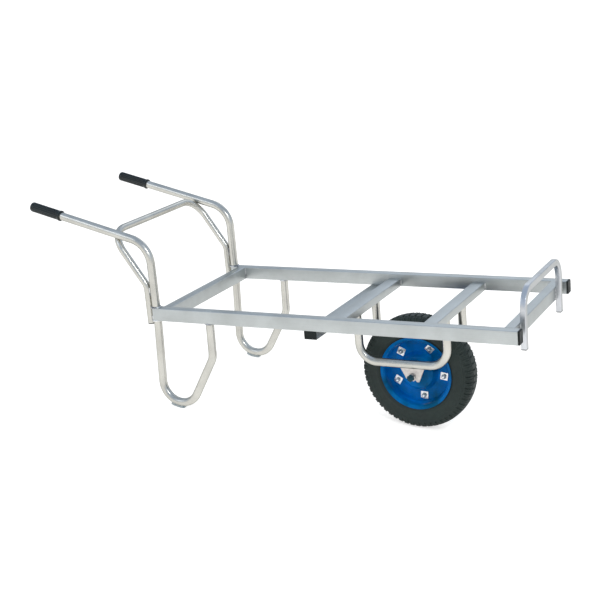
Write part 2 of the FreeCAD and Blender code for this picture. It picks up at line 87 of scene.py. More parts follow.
TUBE_RADIUS = 12.7
LEG_REAR_X = -765.0
LEG_FRONT_X = -576.0
KNEE_X = -578.5
LEAN_Z = 176.0
LEAN_RISE = math.tan(math.radians(2.5))
LEAN_BEND = 200.0
HANDLE_SLOPE = math.radians(14.7)
HANDLE_BEND = 80.0
HANDLE_CORNER_Z = 432.0
HANDLE_LENGTH = 437.0
LOOP_BEND = 65.0
LOOP_SLANT = math.radians(59.5)
KNEE_BEND = 55.0
SHOE_THICKNESS = 5.0
SHOE_WIDTH = 16.0
SHOE_LENGTH = 46.0
SHOE_ANGLE = math.radians(258.0)
WHEEL_RADIUS = 178.0

GRIP_LENGTH = 109.0
GRIP_RADIUS = 15.5
GRIP_END = 7.0
FLANGE_RADIUS = 17.0
FLANGE = 5.0
GROOVES = 16
RIB_START = 12.0
RIB_MARGIN = 6.0
GRIP_NOSE = [
    (0.0, 0.0), (6.0, 0.0), (11.2, 0.7), (13.9, 2.6), (15.2, 5.2),
    (GRIP_RADIUS, 8.0), (GRIP_RADIUS, 11.0),
]
GROOVE_DEPTH = 1.25
GROOVE_SHARE = 0.75
GROOVE_POINTS = 8
GROOVE_RUN_OUT = 2.5

HOOP_RADIUS = 11.1
HOOP_X = LEG_REAR_X - TUBE_RADIUS - HOOP_RADIUS - 0.1
HOOP_LOW_Z = 181.0
HOOP_ELBOW_Z = 300.0
HOOP_SLANT = math.radians(56.0)
HOOP_REACH = 200.0
HOOP_ELBOW_BEND = 40.0
HOOP_CORNER_BEND = 70.0
HOOP_CAP = 3.0
FRONT_HOOP_DEPTH = 16.0
FRONT_HOOP_WIDTH = 20.0
FRONT_HOOP_Y = 177.0
FRONT_HOOP_LOW_Z = 156.0
FRONT_HOOP_TOP_Z = 328.0
FRONT_HOOP_BEND = 55.0

BRACKET_Y = 70.0
BRACKET_REAR_X = -163.0
BRACKET_FRONT_X = 119.0
BRACKET_LOW_Z = 42.0
BRACKET_BEND = 57.0
PLATE_Y = 66.5
PLATE = 5.0
SLOT_HALF = 6.3
SLOT_ANGLE = math.radians(216.6)
PLATE_PRONG = (-16.4, -6.2)
PLATE_MOUTH = (-13.2, 2.7)
PLATE_HOOK = (2.0, -10.1)
PLATE_HOOK_LOW = (5.5, -12.9)
PLATE_NOTCH = (12.5, -7.9)
AXLE_RADIUS = 6.0
AXLE_END_Y = 83.0

PLATE_FOOT = [(16.5, -13.8), (24.1, -13.8), (47.0, 40.0), (-40.0, 40.0)]
PLATE_BENDS = [0.8, 1.0, 0.8, 2.5, 2.5, 0, 0, 0.8, 0.8, 0, 0]
WASHER_RADIUS = 10.0
WASHER_THICKNESS = 2.5
AXLE_NUT_ACROSS = 19.0
AXLE_NUT_HEIGHT = 10.0
LOCK_NUT_HEIGHT = 7.0
LOCK_NUT_ANGLE = math.radians(25)
THREAD_START = 52.0
THREAD_PITCH = 1.5
THREAD_DEPTH = 0.75

POCKET_Y = 40.0
BOLT_CIRCLE = 80.0
BOLT_ANGLES = [math.radians(62.5 + 72 * i) for i in range(5)]
WASHER_TURNS = [math.radians(a) for a in (45, 25, 30, 3, 8)]
SQUARE_HALF = 12.0
RIM_SHEET = 2.0
BOLT_RADIUS = 4.0
BOLT_END = 14.0
RIM_NUT_ACROSS = 13.0
RIM_NUT_HEIGHT = 6.5
BOLT_HEAD_HEIGHT = 5.5
VALVE_ANGLE = math.radians(43.0)
VALVE_Y = 7.0
# The valve's parts, as (radius, distance from the wheel's middle).
STEM_TIP = [(0.0, 66.5), (2.4, 66.5), (3.0, 67.2)]
STEM_THREAD = (68.0, 80.0, 0.8)
STEM_FOOT = [
    (2.7, 81.0), (2.7, 96.0), (3.4, 98.0), (3.4, 104.8), (6.0, 105.2), (6.0, 107.2), (0.0, 107.2),
]
DUST_CAP = [
    (0.0, 64.4), (3.0, 64.4), (3.8, 65.2), (4.0, 66.4), (4.0, 72.0), (3.8, 73.0), (4.0, 74.2),
    (3.9, 75.3), (3.1, 75.3), (3.1, 68.0), (0.0, 68.0),
]

LUGS = 56
# Where points stand along a lug, as shares of its pitch: the gap comes first, then the slit.
LUG_PATTERN = [0.0, 0.04, 0.20, 0.38, 0.42, 0.53, 0.64, 0.68, 0.72, 0.76, 0.88]
LUG_GAP = 0.42
LUG_DEPTH = 4.6
SIPE = (0.66, 0.75)
SIPE_DEPTH = 1.6
GROOVE_Y = (15.9, 18.8)
TREAD_GROOVE_DEPTH = 3.6
MIDDLE_GAP = 0.29
MIDDLE_DEPTH = 3.4
MIDDLE_Y = (2.2, 16.0)
CUT_EDGE = 0.04

RING_WELD_RADIUS = TUBE_RADIUS + 1.1
RING_BEAD = 3.0
HOOP_BEAD = 2.9
FRAME_BEAD = 2.2
FINE_BEAD = 2.0
HOOP_SEAMS = ((268.0, 296.0), (183.0, 205.0))
WELD_LIFT = 0.8
COIN_PITCH = 2.6
COIN_SAMPLES = 5
WELD_SETBACK = 3.0

# Steps of the plastic caps, as (distance out of the tube, inset from its outside).
RAIL_CAP_STEPS = [
    (0.0, 0.0), (3.6, 0.0), (5.0, 0.5), (5.7, 1.3), (6.0, 2.4), (6.0, 4.6), (5.2, 5.2), (5.2, 9.0),
]
PLUG_STEPS = [
    (-3.0, 2.2), (0.0, 2.2), (0.0, 0.0), (1.0, 0.0), (1.7, 0.4), (2.0, 1.2), (2.0, 4.0), (1.1, 4.6),
    (1.1, 9.0),
]
FOOT_CAP_STEPS = [(-3.0, 2.0), (0.0, 2.0), (0.0, 0.0), (1.6, 0.0), (2.5, 0.4), (3.0, 1.3)]

# One pressed rim half, as (radius, distance from its joint), and the bend at each point.
RIM_LINE = [
    (11.5, -40.0), (16.0, -40.0), (16.6, -24.5), (42.0, -27.0), (50.0, -22.0), (60.0, 0.0),
    (98.0, 0.0), (101.0, -11.0), (103.0, -15.0), (104.0, -30.0), (108.0, -34.0), (114.5, -36.0),
]
RIM_BENDS = [0, 1.5, 2.5, 6.0, 7.0, 9.0, 3.0, 2.5, 4.0, 5.0, 3.0, 0]

# Half of the tyre's outer face from the bead to the crown, and of its inner face, as (radius, y).
TYRE_OUTSIDE = [
    (104.3, -30.2), (108.5, -33.9), (115.6, -34.3), (117.5, -35.4), (119.5, -36.7), (122.0, -36.9),
    (123.0, -37.5), (128.0, -37.5), (129.0, -36.9), (136.0, -37.1), (143.0, -37.3), (149.0, -37.0),
    (150.0, -37.5), (152.0, -37.5), (153.0, -36.6), (158.0, -36.3), (161.0, -36.2), (164.0, -35.6),
    (167.0, -34.4), (170.0, -32.8), (172.5, -30.4), (174.5, -27.0), (175.8, -23.0), (176.5, -19.6),
    (176.6, -18.6), (176.9, -17.4), (177.0, -16.0), (177.3, -13.0), (177.6, -9.0), (177.8, -6.0),
    (177.9, -3.2), (178.0, -1.8), (178.0, 0.0),
]
TYRE_INSIDE = [(168.0, 24.0), (153.0, 31.0), (128.0, 30.0), (108.0, 24.0), (104.2, 20.0)]


def arc(corner, before, after, radius, count):
    """Points that round a corner. before and after are unit directions away from it."""
    half = before.angle(after) / 2
    reach = radius / math.tan(half)
    centre = corner + (before + after).normalized() * (radius / math.sin(half))
    first = corner + before * reach - centre
    axis = first.cross(corner + after * reach - centre).normalized()
    turn = math.pi - 2 * half
    return [centre + Matrix.Rotation(turn * k / count, 3, axis) @ first for k in range(count + 1)]


def rounded_line(points, bends, step=3.0):
    """Straight runs joined by arcs, one bend radius for each inner point."""
    line = [points[0].copy()]
    for i, bend in enumerate(bends):
        corner = points[i + 1]
        before = (points[i] - corner).normalized()
        after = (points[i + 2] - corner).normalized()
        turn = math.degrees(math.pi - before.angle(after))
        line += arc(corner, before, after, bend, max(2, math.ceil(turn / step)))
    line.append(points[-1].copy())
    return line


def round_corners(points, radii, count, closed=True):
    """A flat outline with each corner rounded by its radius."""
    total = len(points)
    out = []
    for i, point in enumerate(points):
        p = Vector((*point, 0))
        a = Vector((*points[i - 1], 0)) - p
        b = Vector((*points[(i + 1) % total], 0)) - p
        half = a.angle(b) / 2
        at_end = not closed and i in (0, total - 1)
        if at_end or radii[i] <= 0 or half > math.pi / 2 - 0.01:
            out.append(tuple(point))
            continue
        reach = min(radii[i] / math.tan(half), a.length * 0.49, b.length * 0.49)
        turned = arc(p, a.normalized(), b.normalized(), reach * math.tan(half), count)
        out += [(q.x, q.y) for q in turned]
    return out


def flat_way(angle):
    """A direction in the upright plane along the trolley."""
    return Vector((math.cos(angle), 0, math.sin(angle)))


def ways_around(axis, count):
    """Unit directions at right angles to an axis."""
    e1 = axis.orthogonal().normalized()
    e2 = axis.cross(e1)
    angles = [2 * math.pi * k / count for k in range(count)]
    return [e1 * math.cos(a) + e2 * math.sin(a) for a in angles]


def circle(radius, count):
    angles = [2 * math.pi * k / count for k in range(count)]
    return [(radius * math.cos(a), radius * math.sin(a)) for a in angles]


def rectangle(width, height, radius):
    w, h = width / 2, height / 2
    return round_corners([(w, -h), (w, h), (-w, h), (-w, -h)], [radius] * 4, 4)


def lengths_around(outline):
    """Distances along a closed outline, with its whole length last."""
    run = [0.0]
    for k, point in enumerate(outline):
        run.append(run[-1] + math.dist(point, outline[(k + 1) % len(outline)]))
    return run


class Shape:
    """Collects rings of points and joins them into one mesh."""

    def __init__(self):
        self.verts = []
        self.faces = []
        self.uvs = []

    def grid(self, rings, us=None, vs=None, close_rows=False):
        """Quads between closed rings of equal length. us and vs are distances along them."""
        rows = len(rings)
        count = len(rings[0])
        base = len(self.verts)
        for ring in rings:
            self.verts.extend(Vector(p) * MM for p in ring)
        us = us or list(range(count + 1))
        vs = vs or list(range(rows + 1))
        for i in range(rows if close_rows else rows - 1):
            row, next_row = base + i * count, base + (i + 1) % rows * count
            low, high = vs[i] * MM, vs[i + 1] * MM
            for k in range(count):
                k2 = (k + 1) % count
                left, right = us[k] * MM, us[k + 1] * MM
                self.faces.append((row + k, row + k2, next_row + k2, next_row + k))
                self.uvs.append(((left, low), (right, low), (right, high), (left, high)))
        return base

    def fill(self, indices):
        face = tuple(indices)
        self.faces.append(face)
        self.uvs.append(tuple((self.verts[i].x, self.verts[i].y) for i in face))

    def bridge(self, first, second, count):
        """An end face between two rings that start at these indices."""
        for k in range(count):
            k2 = (k + 1) % count
            self.fill((first + k, first + k2, second + k2, second + k))

    def block(self, rings, us=None, vs=None):
        """A grid whose first and last rings are filled."""
        base = self.grid(rings, us, vs)
        count = len(rings[0])
        last = base + (len(rings) - 1) * count
        self.fill(range(base, base + count))
        self.fill(range(last, last + count))

    def sweep(self, line, profile, side, hollow=None, scales=None, closed=False):
        """Carries a flat profile along a line. side is the profile's first axis at the start."""
        points = [Vector(p) for p in line]
        total = len(points)
        tangents = []
        for i in range(total):
            if closed:
                a, b = points[i - 1], points[(i + 1) % total]
            else:
                a, b = points[max(i - 1, 0)], points[min(i + 1, total - 1)]
            tangents.append((b - a).normalized())
        first_axis = (Vector(side) - tangents[0] * Vector(side).dot(tangents[0])).normalized()
        lengths = [0.0]
        for i in range(1, total + 1):
            lengths.append(lengths[-1] + (points[i % total] - points[i - 1]).length)
        axes = []
        for i, tangent in enumerate(tangents):
            if i:
                first_axis = tangents[i - 1].rotation_difference(tangent) @ first_axis
                first_axis = (first_axis - tangent * first_axis.dot(tangent)).normalized()
            axes.append((first_axis.copy(), tangent.cross(first_axis)))

        def carry(flat):
            rings = []
            for i, point in enumerate(points):
                a, b = axes[i]
                s = scales[i] if scales else 1.0
                rings.append([point + a * (u * s) + b * (v * s) for u, v in flat])
            return self.grid(rings, lengths_around(flat), lengths, close_rows=closed)

        base = carry(profile)
        n = len(profile)
        last = (total - 1) * n
        if hollow:
            inner = carry(hollow)
            self.bridge(base, inner, n)
            self.bridge(base + last, inner + last, n)
        elif not closed:
            self.fill(range(base, base + n))
            self.fill(range(base + last, base + last + n))

    def turn(self, origin, axis, outline, count, closed=False):
        """Turns an outline of (radius, distance) pairs about an axis."""
        origin, axis = Vector(origin), Vector(axis).normalized()
        ways = ways_around(axis, count)
        rings = [[origin + axis * h + way * r for way in ways] for r, h in outline]
        mean = sum(r for r, _ in outline) / len(outline)
        us = [2 * math.pi * mean * k / count for k in range(count + 1)]
        base = self.grid(rings, us, lengths_around(outline), close_rows=closed)
        if closed:
            return
        for i in (0, len(outline) - 1):
            if outline[i][0] > 0.01:
                self.fill(range(base + i * count, base + (i + 1) * count))

    def hexagon(self, origin, axis, across, height, corner, bore=0.0):
        """A nut or bolt head with one corner towards a direction, turned off on its outer face."""
        count = 72
        chamfer = 0.8
        origin, axis = Vector(origin), Vector(axis).normalized()
        e1 = Vector(corner).normalized()
        e2 = axis.cross(e1)
        flat = across / 2
        face = flat * 0.97
        levels = [(face - 1.2, height), (face, height - 0.1)]
        if bore:
            levels = [(bore, 0.0), (bore, height - 0.7), (bore + 0.7, height)] + levels
        else:
            levels = [(0.0, height)] + levels
        ways = []
        for k in range(count):
            a = 2 * math.pi * k / count
            reach = flat / math.cos(a % (math.pi / 3) - math.pi / 6)
            ways.append((e1 * math.cos(a) + e2 * math.sin(a), reach))
        rings = [[origin + axis * h + way * r for way, _ in ways] for r, h in levels]
        upper = []
        for way, reach in ways:
            drop = 0.1 + max(0.0, reach - face) * chamfer
            upper.append(origin + axis * (height - drop) + way * reach)
        rings.append(upper)
        rings.append([origin + way * reach for way, reach in ways])
        base = self.grid(rings)
        last = base + (len(rings) - 1) * count
        if bore:
            self.bridge(last, base, count)
        else:
            self.fill(range(last, last + count))

    def prism(self, outline, y0, y1):
        """An XZ outline carried along Y."""
        rings = [[(x, y, z) for x, z in outline] for y in (y0, y1)]
        self.block(rings, lengths_around(outline), [0.0, abs(y1 - y0)])

    def bead(self, line, radius, closed=False, seed=1):
        """A weld laid as overlapping coins along a line."""
        rng = random.Random(seed)
        points = [Vector(p) for p in line]
        loop = points + [points[0]] if closed else points
        lengths = [0.0]
        for a, b in zip(loop, loop[1:]):
            lengths.append(lengths[-1] + (b - a).length)
        total = lengths[-1]
        coins = max(3, round(total / COIN_PITCH))
        steps = coins * COIN_SAMPLES
        sizes = [rng.uniform(0.92, 1.08) for _ in range(coins + 1)]
        path, scales = [], []
        k = 0
        for s in range(steps if closed else steps + 1):
            at = total * s / steps
            while k < len(lengths) - 2 and lengths[k + 1] < at:
                k += 1
            share = (at - lengths[k]) / max(1e-9, lengths[k + 1] - lengths[k])
            path.append(loop[k].lerp(loop[k + 1], min(1.0, share)))
            phase = (s % COIN_SAMPLES) / COIN_SAMPLES
            swell = 0.84 + 0.16 * math.sqrt(max(0.0, 1 - (2 * phase - 0.9) ** 2 / 1.3))
            size = swell * sizes[(s // COIN_SAMPLES) % (coins + 1)]
            if not closed:
                size *= min(1.0, 0.45 + 0.55 * min(s, steps - s) / (COIN_SAMPLES * 0.8))
            scales.append(size)
        side = (path[1] - path[0]).orthogonal()
        self.sweep(path, circle(radius, 10), side, scales=scales, closed=closed)

    def mesh(self, name):
        data = bpy.data.meshes.new(name)
        data.from_pydata([tuple(v) for v in self.verts], [], self.faces)
        layer = data.uv_layers.new(name="UVMap")
        flat = [c for face in self.uvs for uv in face for c in uv]
        layer.data.foreach_set("uv", flat)
        work = bmesh.new()
        work.from_mesh(data)
        bmesh.ops.remove_doubles(work, verts=work.verts, dist=2e-6)
        bmesh.ops.dissolve_degenerate(work, edges=work.edges, dist=1e-6)
        bmesh.ops.recalc_face_normals(work, faces=work.faces)
        bmesh.ops.transform(work, matrix=BED, verts=work.verts)
        work.to_mesh(data)
        work.free()
        data.validate()
        return data


def put(name, data):
    made = bpy.data.objects.new(name, data)
    SCENE.collection.objects.link(made)
    return made


def add(name, shape, slot, node=None, look=None, body="frame", sharp=32.0, bevel=0.0):
    """Makes a piece that stands in for a CAD node. Without a look it gets its slot's material."""
    data = shape.mesh(name)
    data.materials.append(MAT[look or slot])
    data.shade_smooth()
    data.set_sharp_from_angle(angle=math.radians(sharp))
    piece = put(name, data)
    if bevel:
        edge = piece.modifiers.new("edges", "BEVEL")
        edge.width = bevel * MM
        edge.segments = 2
        edge.limit_method = "ANGLE"
        edge.angle_limit = math.radians(40)
        edge.harden_normals = False
    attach(piece, body)
    if node:
        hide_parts(node)


def fill_ramp(ramp, stops):
    """Sets a colour ramp from (position, colour) pairs."""
    elements = ramp.color_ramp.elements
    while len(elements) < len(stops):
        elements.new(0.5)
    for element, (at, color) in zip(elements, stops):
        element.position = at
        element.color = (*color, 1)


def ray_is(tree, *kinds):
    """One where the ray is of any of these kinds, otherwise zero."""
    rays = tree.nodes.new("ShaderNodeLightPath")
    total = rays.outputs[kinds[0]]
    for kind in kinds[1:]:
        larger = tree.nodes.new("ShaderNodeMath")
        larger.operation = "MAXIMUM"
        tree.links.new(total, larger.inputs[0])
        tree.links.new(rays.outputs[kind], larger.inputs[1])
        total = larger.outputs[0]
    return total


def mix_shaders(tree, share, first, second):
    made = tree.nodes.new("ShaderNodeMixShader")
    tree.links.new(share, made.inputs["Fac"])
    tree.links.new(first, made.inputs[1])
    tree.links.new(second, made.inputs[2])
    return made.outputs[0]


class Look:
    """One procedural material and short calls for its nodes."""

    def __init__(self, name, color, metallic, roughness):
        self.name = name
        self.material = bpy.data.materials.new(name)
        self.material.use_nodes = True
        self.tree = self.material.node_tree
        self.shader = self.tree.nodes["Principled BSDF"]
        self.set("Base Color", (*color, 1))
        self.set("Metallic", metallic)
        self.set("Roughness", roughness)
        self.normal = None

    def set(self, name, value):
        self.shader.inputs[name].default_value = value

    def node(self, kind, **settings):
        made = self.tree.nodes.new(kind)
        for key, value in settings.items():
            setattr(made, key, value)
        return made

    def link(self, a, b):
        self.tree.links.new(a, b)

    def color(self, socket):
        self.link(socket, self.shader.inputs["Base Color"])

    def tones(self, value, *stops):
        self.color(self.ramp(value, stops))

    def roughness(self, value, low, high, source=(0.3, 0.7)):
        made = self.node("ShaderNodeMapRange")
        made.inputs["From Min"].default_value = source[0]
        made.inputs["From Max"].default_value = source[1]
        made.inputs["To Min"].default_value = low
        made.inputs["To Max"].default_value = high
        self.link(value, made.inputs["Value"])
        self.link(made.outputs["Result"], self.shader.inputs["Roughness"])

    def pattern(self, kind, scale, stretch=(1, 1, 1), coords="Object"):
        where = self.node("ShaderNodeTexCoord")
        mapping = self.node("ShaderNodeMapping")
        mapping.inputs["Scale"].default_value = stretch
        self.link(where.outputs[coords], mapping.inputs["Vector"])
        made = self.node(kind)
        made.inputs["Scale"].default_value = scale
        self.link(mapping.outputs["Vector"], made.inputs["Vector"])
        return made

    def noise(self, scale, stretch=(1, 1, 1), coords="Object", detail=3.0, rough=0.5, twist=0.0):
        made = self.pattern("ShaderNodeTexNoise", scale, stretch, coords)
        made.inputs["Detail"].default_value = detail
        made.inputs["Roughness"].default_value = rough
        made.inputs["Distortion"].default_value = twist
        return made.outputs["Fac"]

    def ramp(self, value, stops):
        made = self.node("ShaderNodeValToRGB")
        fill_ramp(made, stops)
        self.link(value, made.inputs["Fac"])
        return made.outputs["Color"]

    def mix(self, share, a, b, mode="MIX"):
        made = self.node("ShaderNodeMix", data_type="RGBA", blend_type=mode)
        made.inputs[0].default_value = share
        self.link(a, made.inputs[6])
        self.link(b, made.inputs[7])
        return made.outputs[2]

    def bump(self, height, strength, distance):
        made = self.node("ShaderNodeBump")
        made.inputs["Strength"].default_value = strength
        made.inputs["Distance"].default_value = distance
        self.link(height, made.inputs["Height"])
        if self.normal is not None:
            self.link(self.normal, made.inputs["Normal"])
        self.normal = made.outputs["Normal"]
        self.link(self.normal, self.shader.inputs["Normal"])


def bare_aluminium(name, tint, edge, low, high, line_scale, cloud_scale, line_bump):
    """Bare metal with fine lines along the piece, soft clouds of oxide and an edge tint that darkens
    its grazing reflections, a painted dark reflection along the edges.
    """
    look = Look(name, tint, 1.0, (low + high) / 2)
    lines = look.noise(1.0, (line_scale, 5, 1), "UV", 4.0, 0.6)
    fine = look.noise(1.0, (line_scale * 4, 14, 1), "UV", 2.0, 0.5)
    clouds = look.noise(cloud_scale, detail=5.0, rough=0.6)
    dimmed = tuple(c * 0.88 for c in tint)
    bright = tuple(min(1.0, c * 1.06) for c in tint)
    base = look.ramp(clouds, [(0.35, dimmed), (0.62, bright)])
    streaks = look.ramp(lines, [(0.3, (0.90, 0.90, 0.895)), (0.7, (1.0, 1.0, 1.0))])
    look.color(look.mix(1.0, base, streaks, "MULTIPLY"))
    look.roughness(look.mix(0.5, lines, clouds), low, high, (0.38, 0.62))
    look.bump(lines, line_bump, 0.0002)
    look.bump(fine, line_bump * 0.6, 0.00008)
    # The edge tint paints a dark reflection along the edges, strongest on the round tubes.
    look.set("Specular Tint", (*edge, 1))
    return look


def weld_look():
    look = Look("weld_bead", (0.74, 0.74, 0.73), 1.0, 0.35)
    grain = look.noise(420)
    soot = look.noise(60, detail=4.0, rough=0.65)
    look.tones(soot, (0.36, (0.20, 0.21, 0.23)), (0.60, (0.74, 0.74, 0.73)))
    look.roughness(grain, 0.25, 0.48)
    look.bump(grain, 0.25, 0.0003)
    return look


def plate_look():
    look = Look("aluminium_plate", (0.66, 0.64, 0.62), 1.0, 0.38)
    brushed = look.noise(1.0, (40, 40, 900))
    spots = look.noise(90, detail=5.0, rough=0.65)
    look.tones(spots, (0.3, (0.44, 0.41, 0.39)), (0.6, (0.58, 0.545, 0.515)))
    look.roughness(brushed, 0.28, 0.50)
    look.bump(brushed, 0.08, 0.0002)
    look.bump(spots, 0.10, 0.0003)
    return look


def plastic_look():
    look = Look("black_plastic", (0.022, 0.024, 0.024), 0.0, 0.5)
    pebble = look.noise(1600, detail=2.0)
    haze = look.noise(40, detail=4.0)
    look.tones(haze, (0.35, (0.006, 0.009, 0.009)), (0.7, (0.014, 0.019, 0.018)))
    look.set("Specular IOR Level", 0.22)
    look.roughness(haze, 0.42, 0.58)
    look.bump(pebble, 0.22, 0.0002)
    return look


def grip_look():
    look = Look("grip_rubber", (0.02, 0.023, 0.022), 0.0, 0.48)
    skin = look.noise(900)
    wear = look.noise(28, detail=5.0, rough=0.6)
    look.tones(wear, (0.35, (0.002, 0.006, 0.006)), (0.65, (0.004, 0.012, 0.012)))
    look.roughness(wear, 0.24, 0.34)
    look.set("Specular IOR Level", 0.35)
    look.bump(skin, 0.08, 0.0001)
    return look


def tyre_look():
    look = Look("tyre_rubber", (0.020, 0.026, 0.023), 0.0, 0.6)
    look.set("Specular IOR Level", 0.32)
    skin = look.noise(700, detail=4.0)
    dust = look.noise(16, detail=6.0, rough=0.65, twist=0.4)
    mottle = look.noise(120, detail=4.0)
    base = look.ramp(dust, [(0.32, (0.012, 0.022, 0.020)), (0.7, (0.027, 0.044, 0.040))])
    spots = look.ramp(mottle, [(0.3, (0.012, 0.018, 0.016)), (0.7, (0.032, 0.042, 0.036))])
    look.color(look.mix(0.35, base, spots))
    look.roughness(dust, 0.50, 0.68)
    look.bump(skin, 0.20, 0.0003)
    look.bump(mottle, 0.10, 0.0006)
    return look


def enamel_look():
    look = Look("blue_enamel", (0.0, 0.10, 0.33), 0.0, 0.28)
    peel = look.noise(260, detail=2.0)
    tone = look.noise(11, detail=4.0, rough=0.6)
    # The noise scatters a dark teal and a bright blue of the same paint over the rim: painted shade and
    # painted light, not a change in the paint.
    look.tones(tone, (0.32, (0.0, 0.092, 0.21)), (0.60, (0.0, 0.200, 0.68)))
    look.roughness(look.noise(35, detail=5.0), 0.30, 0.44)
    look.bump(peel, 0.06, 0.0006)
    look.set("Specular IOR Level", 0.25)
    look.set("Specular Tint", (0.02, 0.42, 0.75, 1))
    look.set("Coat Weight", 0.08)
    look.set("Coat Roughness", 0.05)
    return look


def zinc_look():
    look = Look("zinc_steel", (0.80, 0.81, 0.82), 1.0, 0.3)
    flakes = look.pattern("ShaderNodeTexVoronoi", 420).outputs["Color"]
    patina = look.noise(120, detail=5.0, rough=0.65)
    color = look.ramp(patina, [(0.3, (0.60, 0.59, 0.57)), (0.6, (0.82, 0.83, 0.84))])
    look.color(look.mix(0.12, color, flakes, "OVERLAY"))
    look.roughness(patina, 0.22, 0.42)
    look.bump(look.noise(700), 0.12, 0.0002)
    return look


def stained_look(name, color, metallic, scale, dark, light, low, high):
    look = Look(name, color, metallic, (low + high) / 2)
    stain = look.noise(scale, detail=4.0)
    look.tones(stain, (0.3, dark), (0.65, light))
    look.roughness(stain, low, high)
    return look


def plain_look(name, color, metallic, scale, low, high):
    """For pieces inside the wheel."""
    look = Look(name, color, metallic, (low + high) / 2)
    look.roughness(look.noise(scale), low, high)
    return look


def make_materials():
    """The materials by name. Each material slot has one of its own name."""
    # The second colour of each pair is the edge tint: a painted dark reflection along the edges.
    extruded, extruded_edge = (0.49, 0.515, 0.512), (0.80, 0.80, 0.79)
    tube, tube_edge = (0.585, 0.575, 0.53), (0.42, 0.43, 0.42)
    hoop, hoop_edge = (0.60, 0.615, 0.64), (0.66, 0.66, 0.62)
    # The zinc of the rim nuts and the wear strip is darkened and tinted blue-grey: painted shade and a
    # painted dark reflection.
    dimmed = ((0.16, 0.21, 0.24), (0.38, 0.41, 0.42))
    # dark holds the teal-black of the axle end and the outer axle nuts: painted shade, the tone of the
    # blue rim in shadow.
    dark = ((0.006, 0.038, 0.06), (0.02, 0.085, 0.125))
    dark_steel = stained_look("dark_steel", (0.02, 0.07, 0.10), 0.35, 150, *dark, 0.34, 0.5)
    dark_steel.set("Specular IOR Level", 0.2)
    looks = [
        bare_aluminium("extruded_aluminium", extruded, extruded_edge, 0.34, 0.48, 420, 9, 0.10),
        bare_aluminium("aluminium_tube", tube, tube_edge, 0.25, 0.36, 900, 12, 0.05),
        bare_aluminium("aluminium_hoop", hoop, hoop_edge, 0.26, 0.38, 900, 12, 0.05),
        weld_look(),
        plate_look(),
        plastic_look(),
        grip_look(),
        tyre_look(),
        enamel_look(),
        zinc_look(),
        stained_look("zinc_with_painted_shade", (0.30, 0.34, 0.36), 1.0, 160, *dimmed, 0.28, 0.46),
        dark_steel,
        plain_look("inner_tube_rubber", (0.03, 0.03, 0.03), 0.0, 200, 0.5, 0.7),
        plain_look("seal_rubber", (0.03, 0.03, 0.032), 0.0, 300, 0.4, 0.6),
        plain_look("bearing_steel", (0.62, 0.63, 0.65), 1.0, 500, 0.16, 0.32),
        plain_look("brass_stem", (0.72, 0.58, 0.30), 1.0, 400, 0.22, 0.4),
    ]
    return {look.name: look.material for look in looks}


MAT = make_materials()


def dress_cad_nodes():
    """Gives every CAD node the material of its slot."""
    slot_of = {part["node"]: part["material_slot"] for part in frame["record"]["subparts"]}
    for node, obj in frame["nodes"].items():
        obj.data.materials.clear()
        obj.data.materials.append(MAT[slot_of[node]])


def leaning_x(z):
    """Where the rear leg's centre line is at a height below the bed."""
    return LEG_REAR_X - (LEAN_Z - z) * LEAN_RISE


def loop_centre(y):
    """The loop touches the leaning leg and stands on the floor once the bed is tipped."""
    foot_z = (LOOP_BEND + TUBE_RADIUS + SHOE_THICKNESS - WHEEL_RADIUS) / math.cos(PITCH)
    level_x = leaning_x(0) + LOOP_BEND * math.hypot(1, LEAN_RISE)
    x = (level_x + LEAN_RISE * foot_z) / (1 + LEAN_RISE * math.tan(PITCH))
    return Vector((x, y, foot_z - x * math.tan(PITCH)))


def handle_line(y):
    """Corners of the handle and leg tube, and the centre of its loop."""
    corner = Vector((LEG_REAR_X, y, HANDLE_CORNER_Z))
    tip = corner + Vector((-math.cos(HANDLE_SLOPE), 0, math.sin(HANDLE_SLOPE))) * HANDLE_LENGTH
    lean_start = Vector((LEG_REAR_X, y, LEAN_Z))
    centre = loop_centre(y)
    touch = centre + Vector((math.sin(LOOP_SLANT), 0, -math.cos(LOOP_SLANT))) * LOOP_BEND
    run = Vector((math.cos(LOOP_SLANT), 0, math.sin(LOOP_SLANT)))
    low = touch - run * ((touch.x - leaning_x(touch.z)) / (run.x - LEAN_RISE * run.z))
    knee = touch + run * ((KNEE_X - touch.x) / run.x)
    top = Vector((LEG_FRONT_X, y, BED_LOW_Z))
    return [tip, corner, lean_start, low, knee, top], centre


def make_rails(side, tag):
    y = side * RAIL_Y
    ends = [Vector((x, y, BED_MIDDLE_Z)) for x in (RAIL_REAR_X, RAIL_FRONT_X)]
    outer = rectangle(RAIL_WIDTH, RAIL_HEIGHT, RAIL_CORNER)
    inner = rectangle(RAIL_WIDTH - 2 * RAIL_WALL, RAIL_HEIGHT - 2 * RAIL_WALL, RAIL_INNER_CORNER)
    rail = Shape()
    rail.sweep(ends, outer, Y_AXIS, hollow=inner)
    add("rail_" + tag, rail, "extruded_aluminium", "side_rail_" + tag)

    def place(out, a, b):
        return (RAIL_FRONT_X + out, y + a, BED_MIDDLE_Z + b)

    size = (RAIL_WIDTH, RAIL_HEIGHT, 2.6)
    add_cap("rail_end_cap_" + tag, "rail_cap_front_" + tag, size, RAIL_CAP_STEPS, place)


def add_cap(name, node, size, steps, place, shrink=0.4, least=0.6):
    """A plastic cap of stepped rectangles. size is width, height and corner radius."""
    width, height, corner = size
    rings = []
    for out, inset in steps:
        flat = rectangle(width - 2 * inset, height - 2 * inset, max(least, corner - inset * shrink))
        rings.append([Vector(place(out, a, b)) for a, b in flat])
    cap = Shape()
    cap.block(rings)
    add(name, cap, "black_plastic", node)


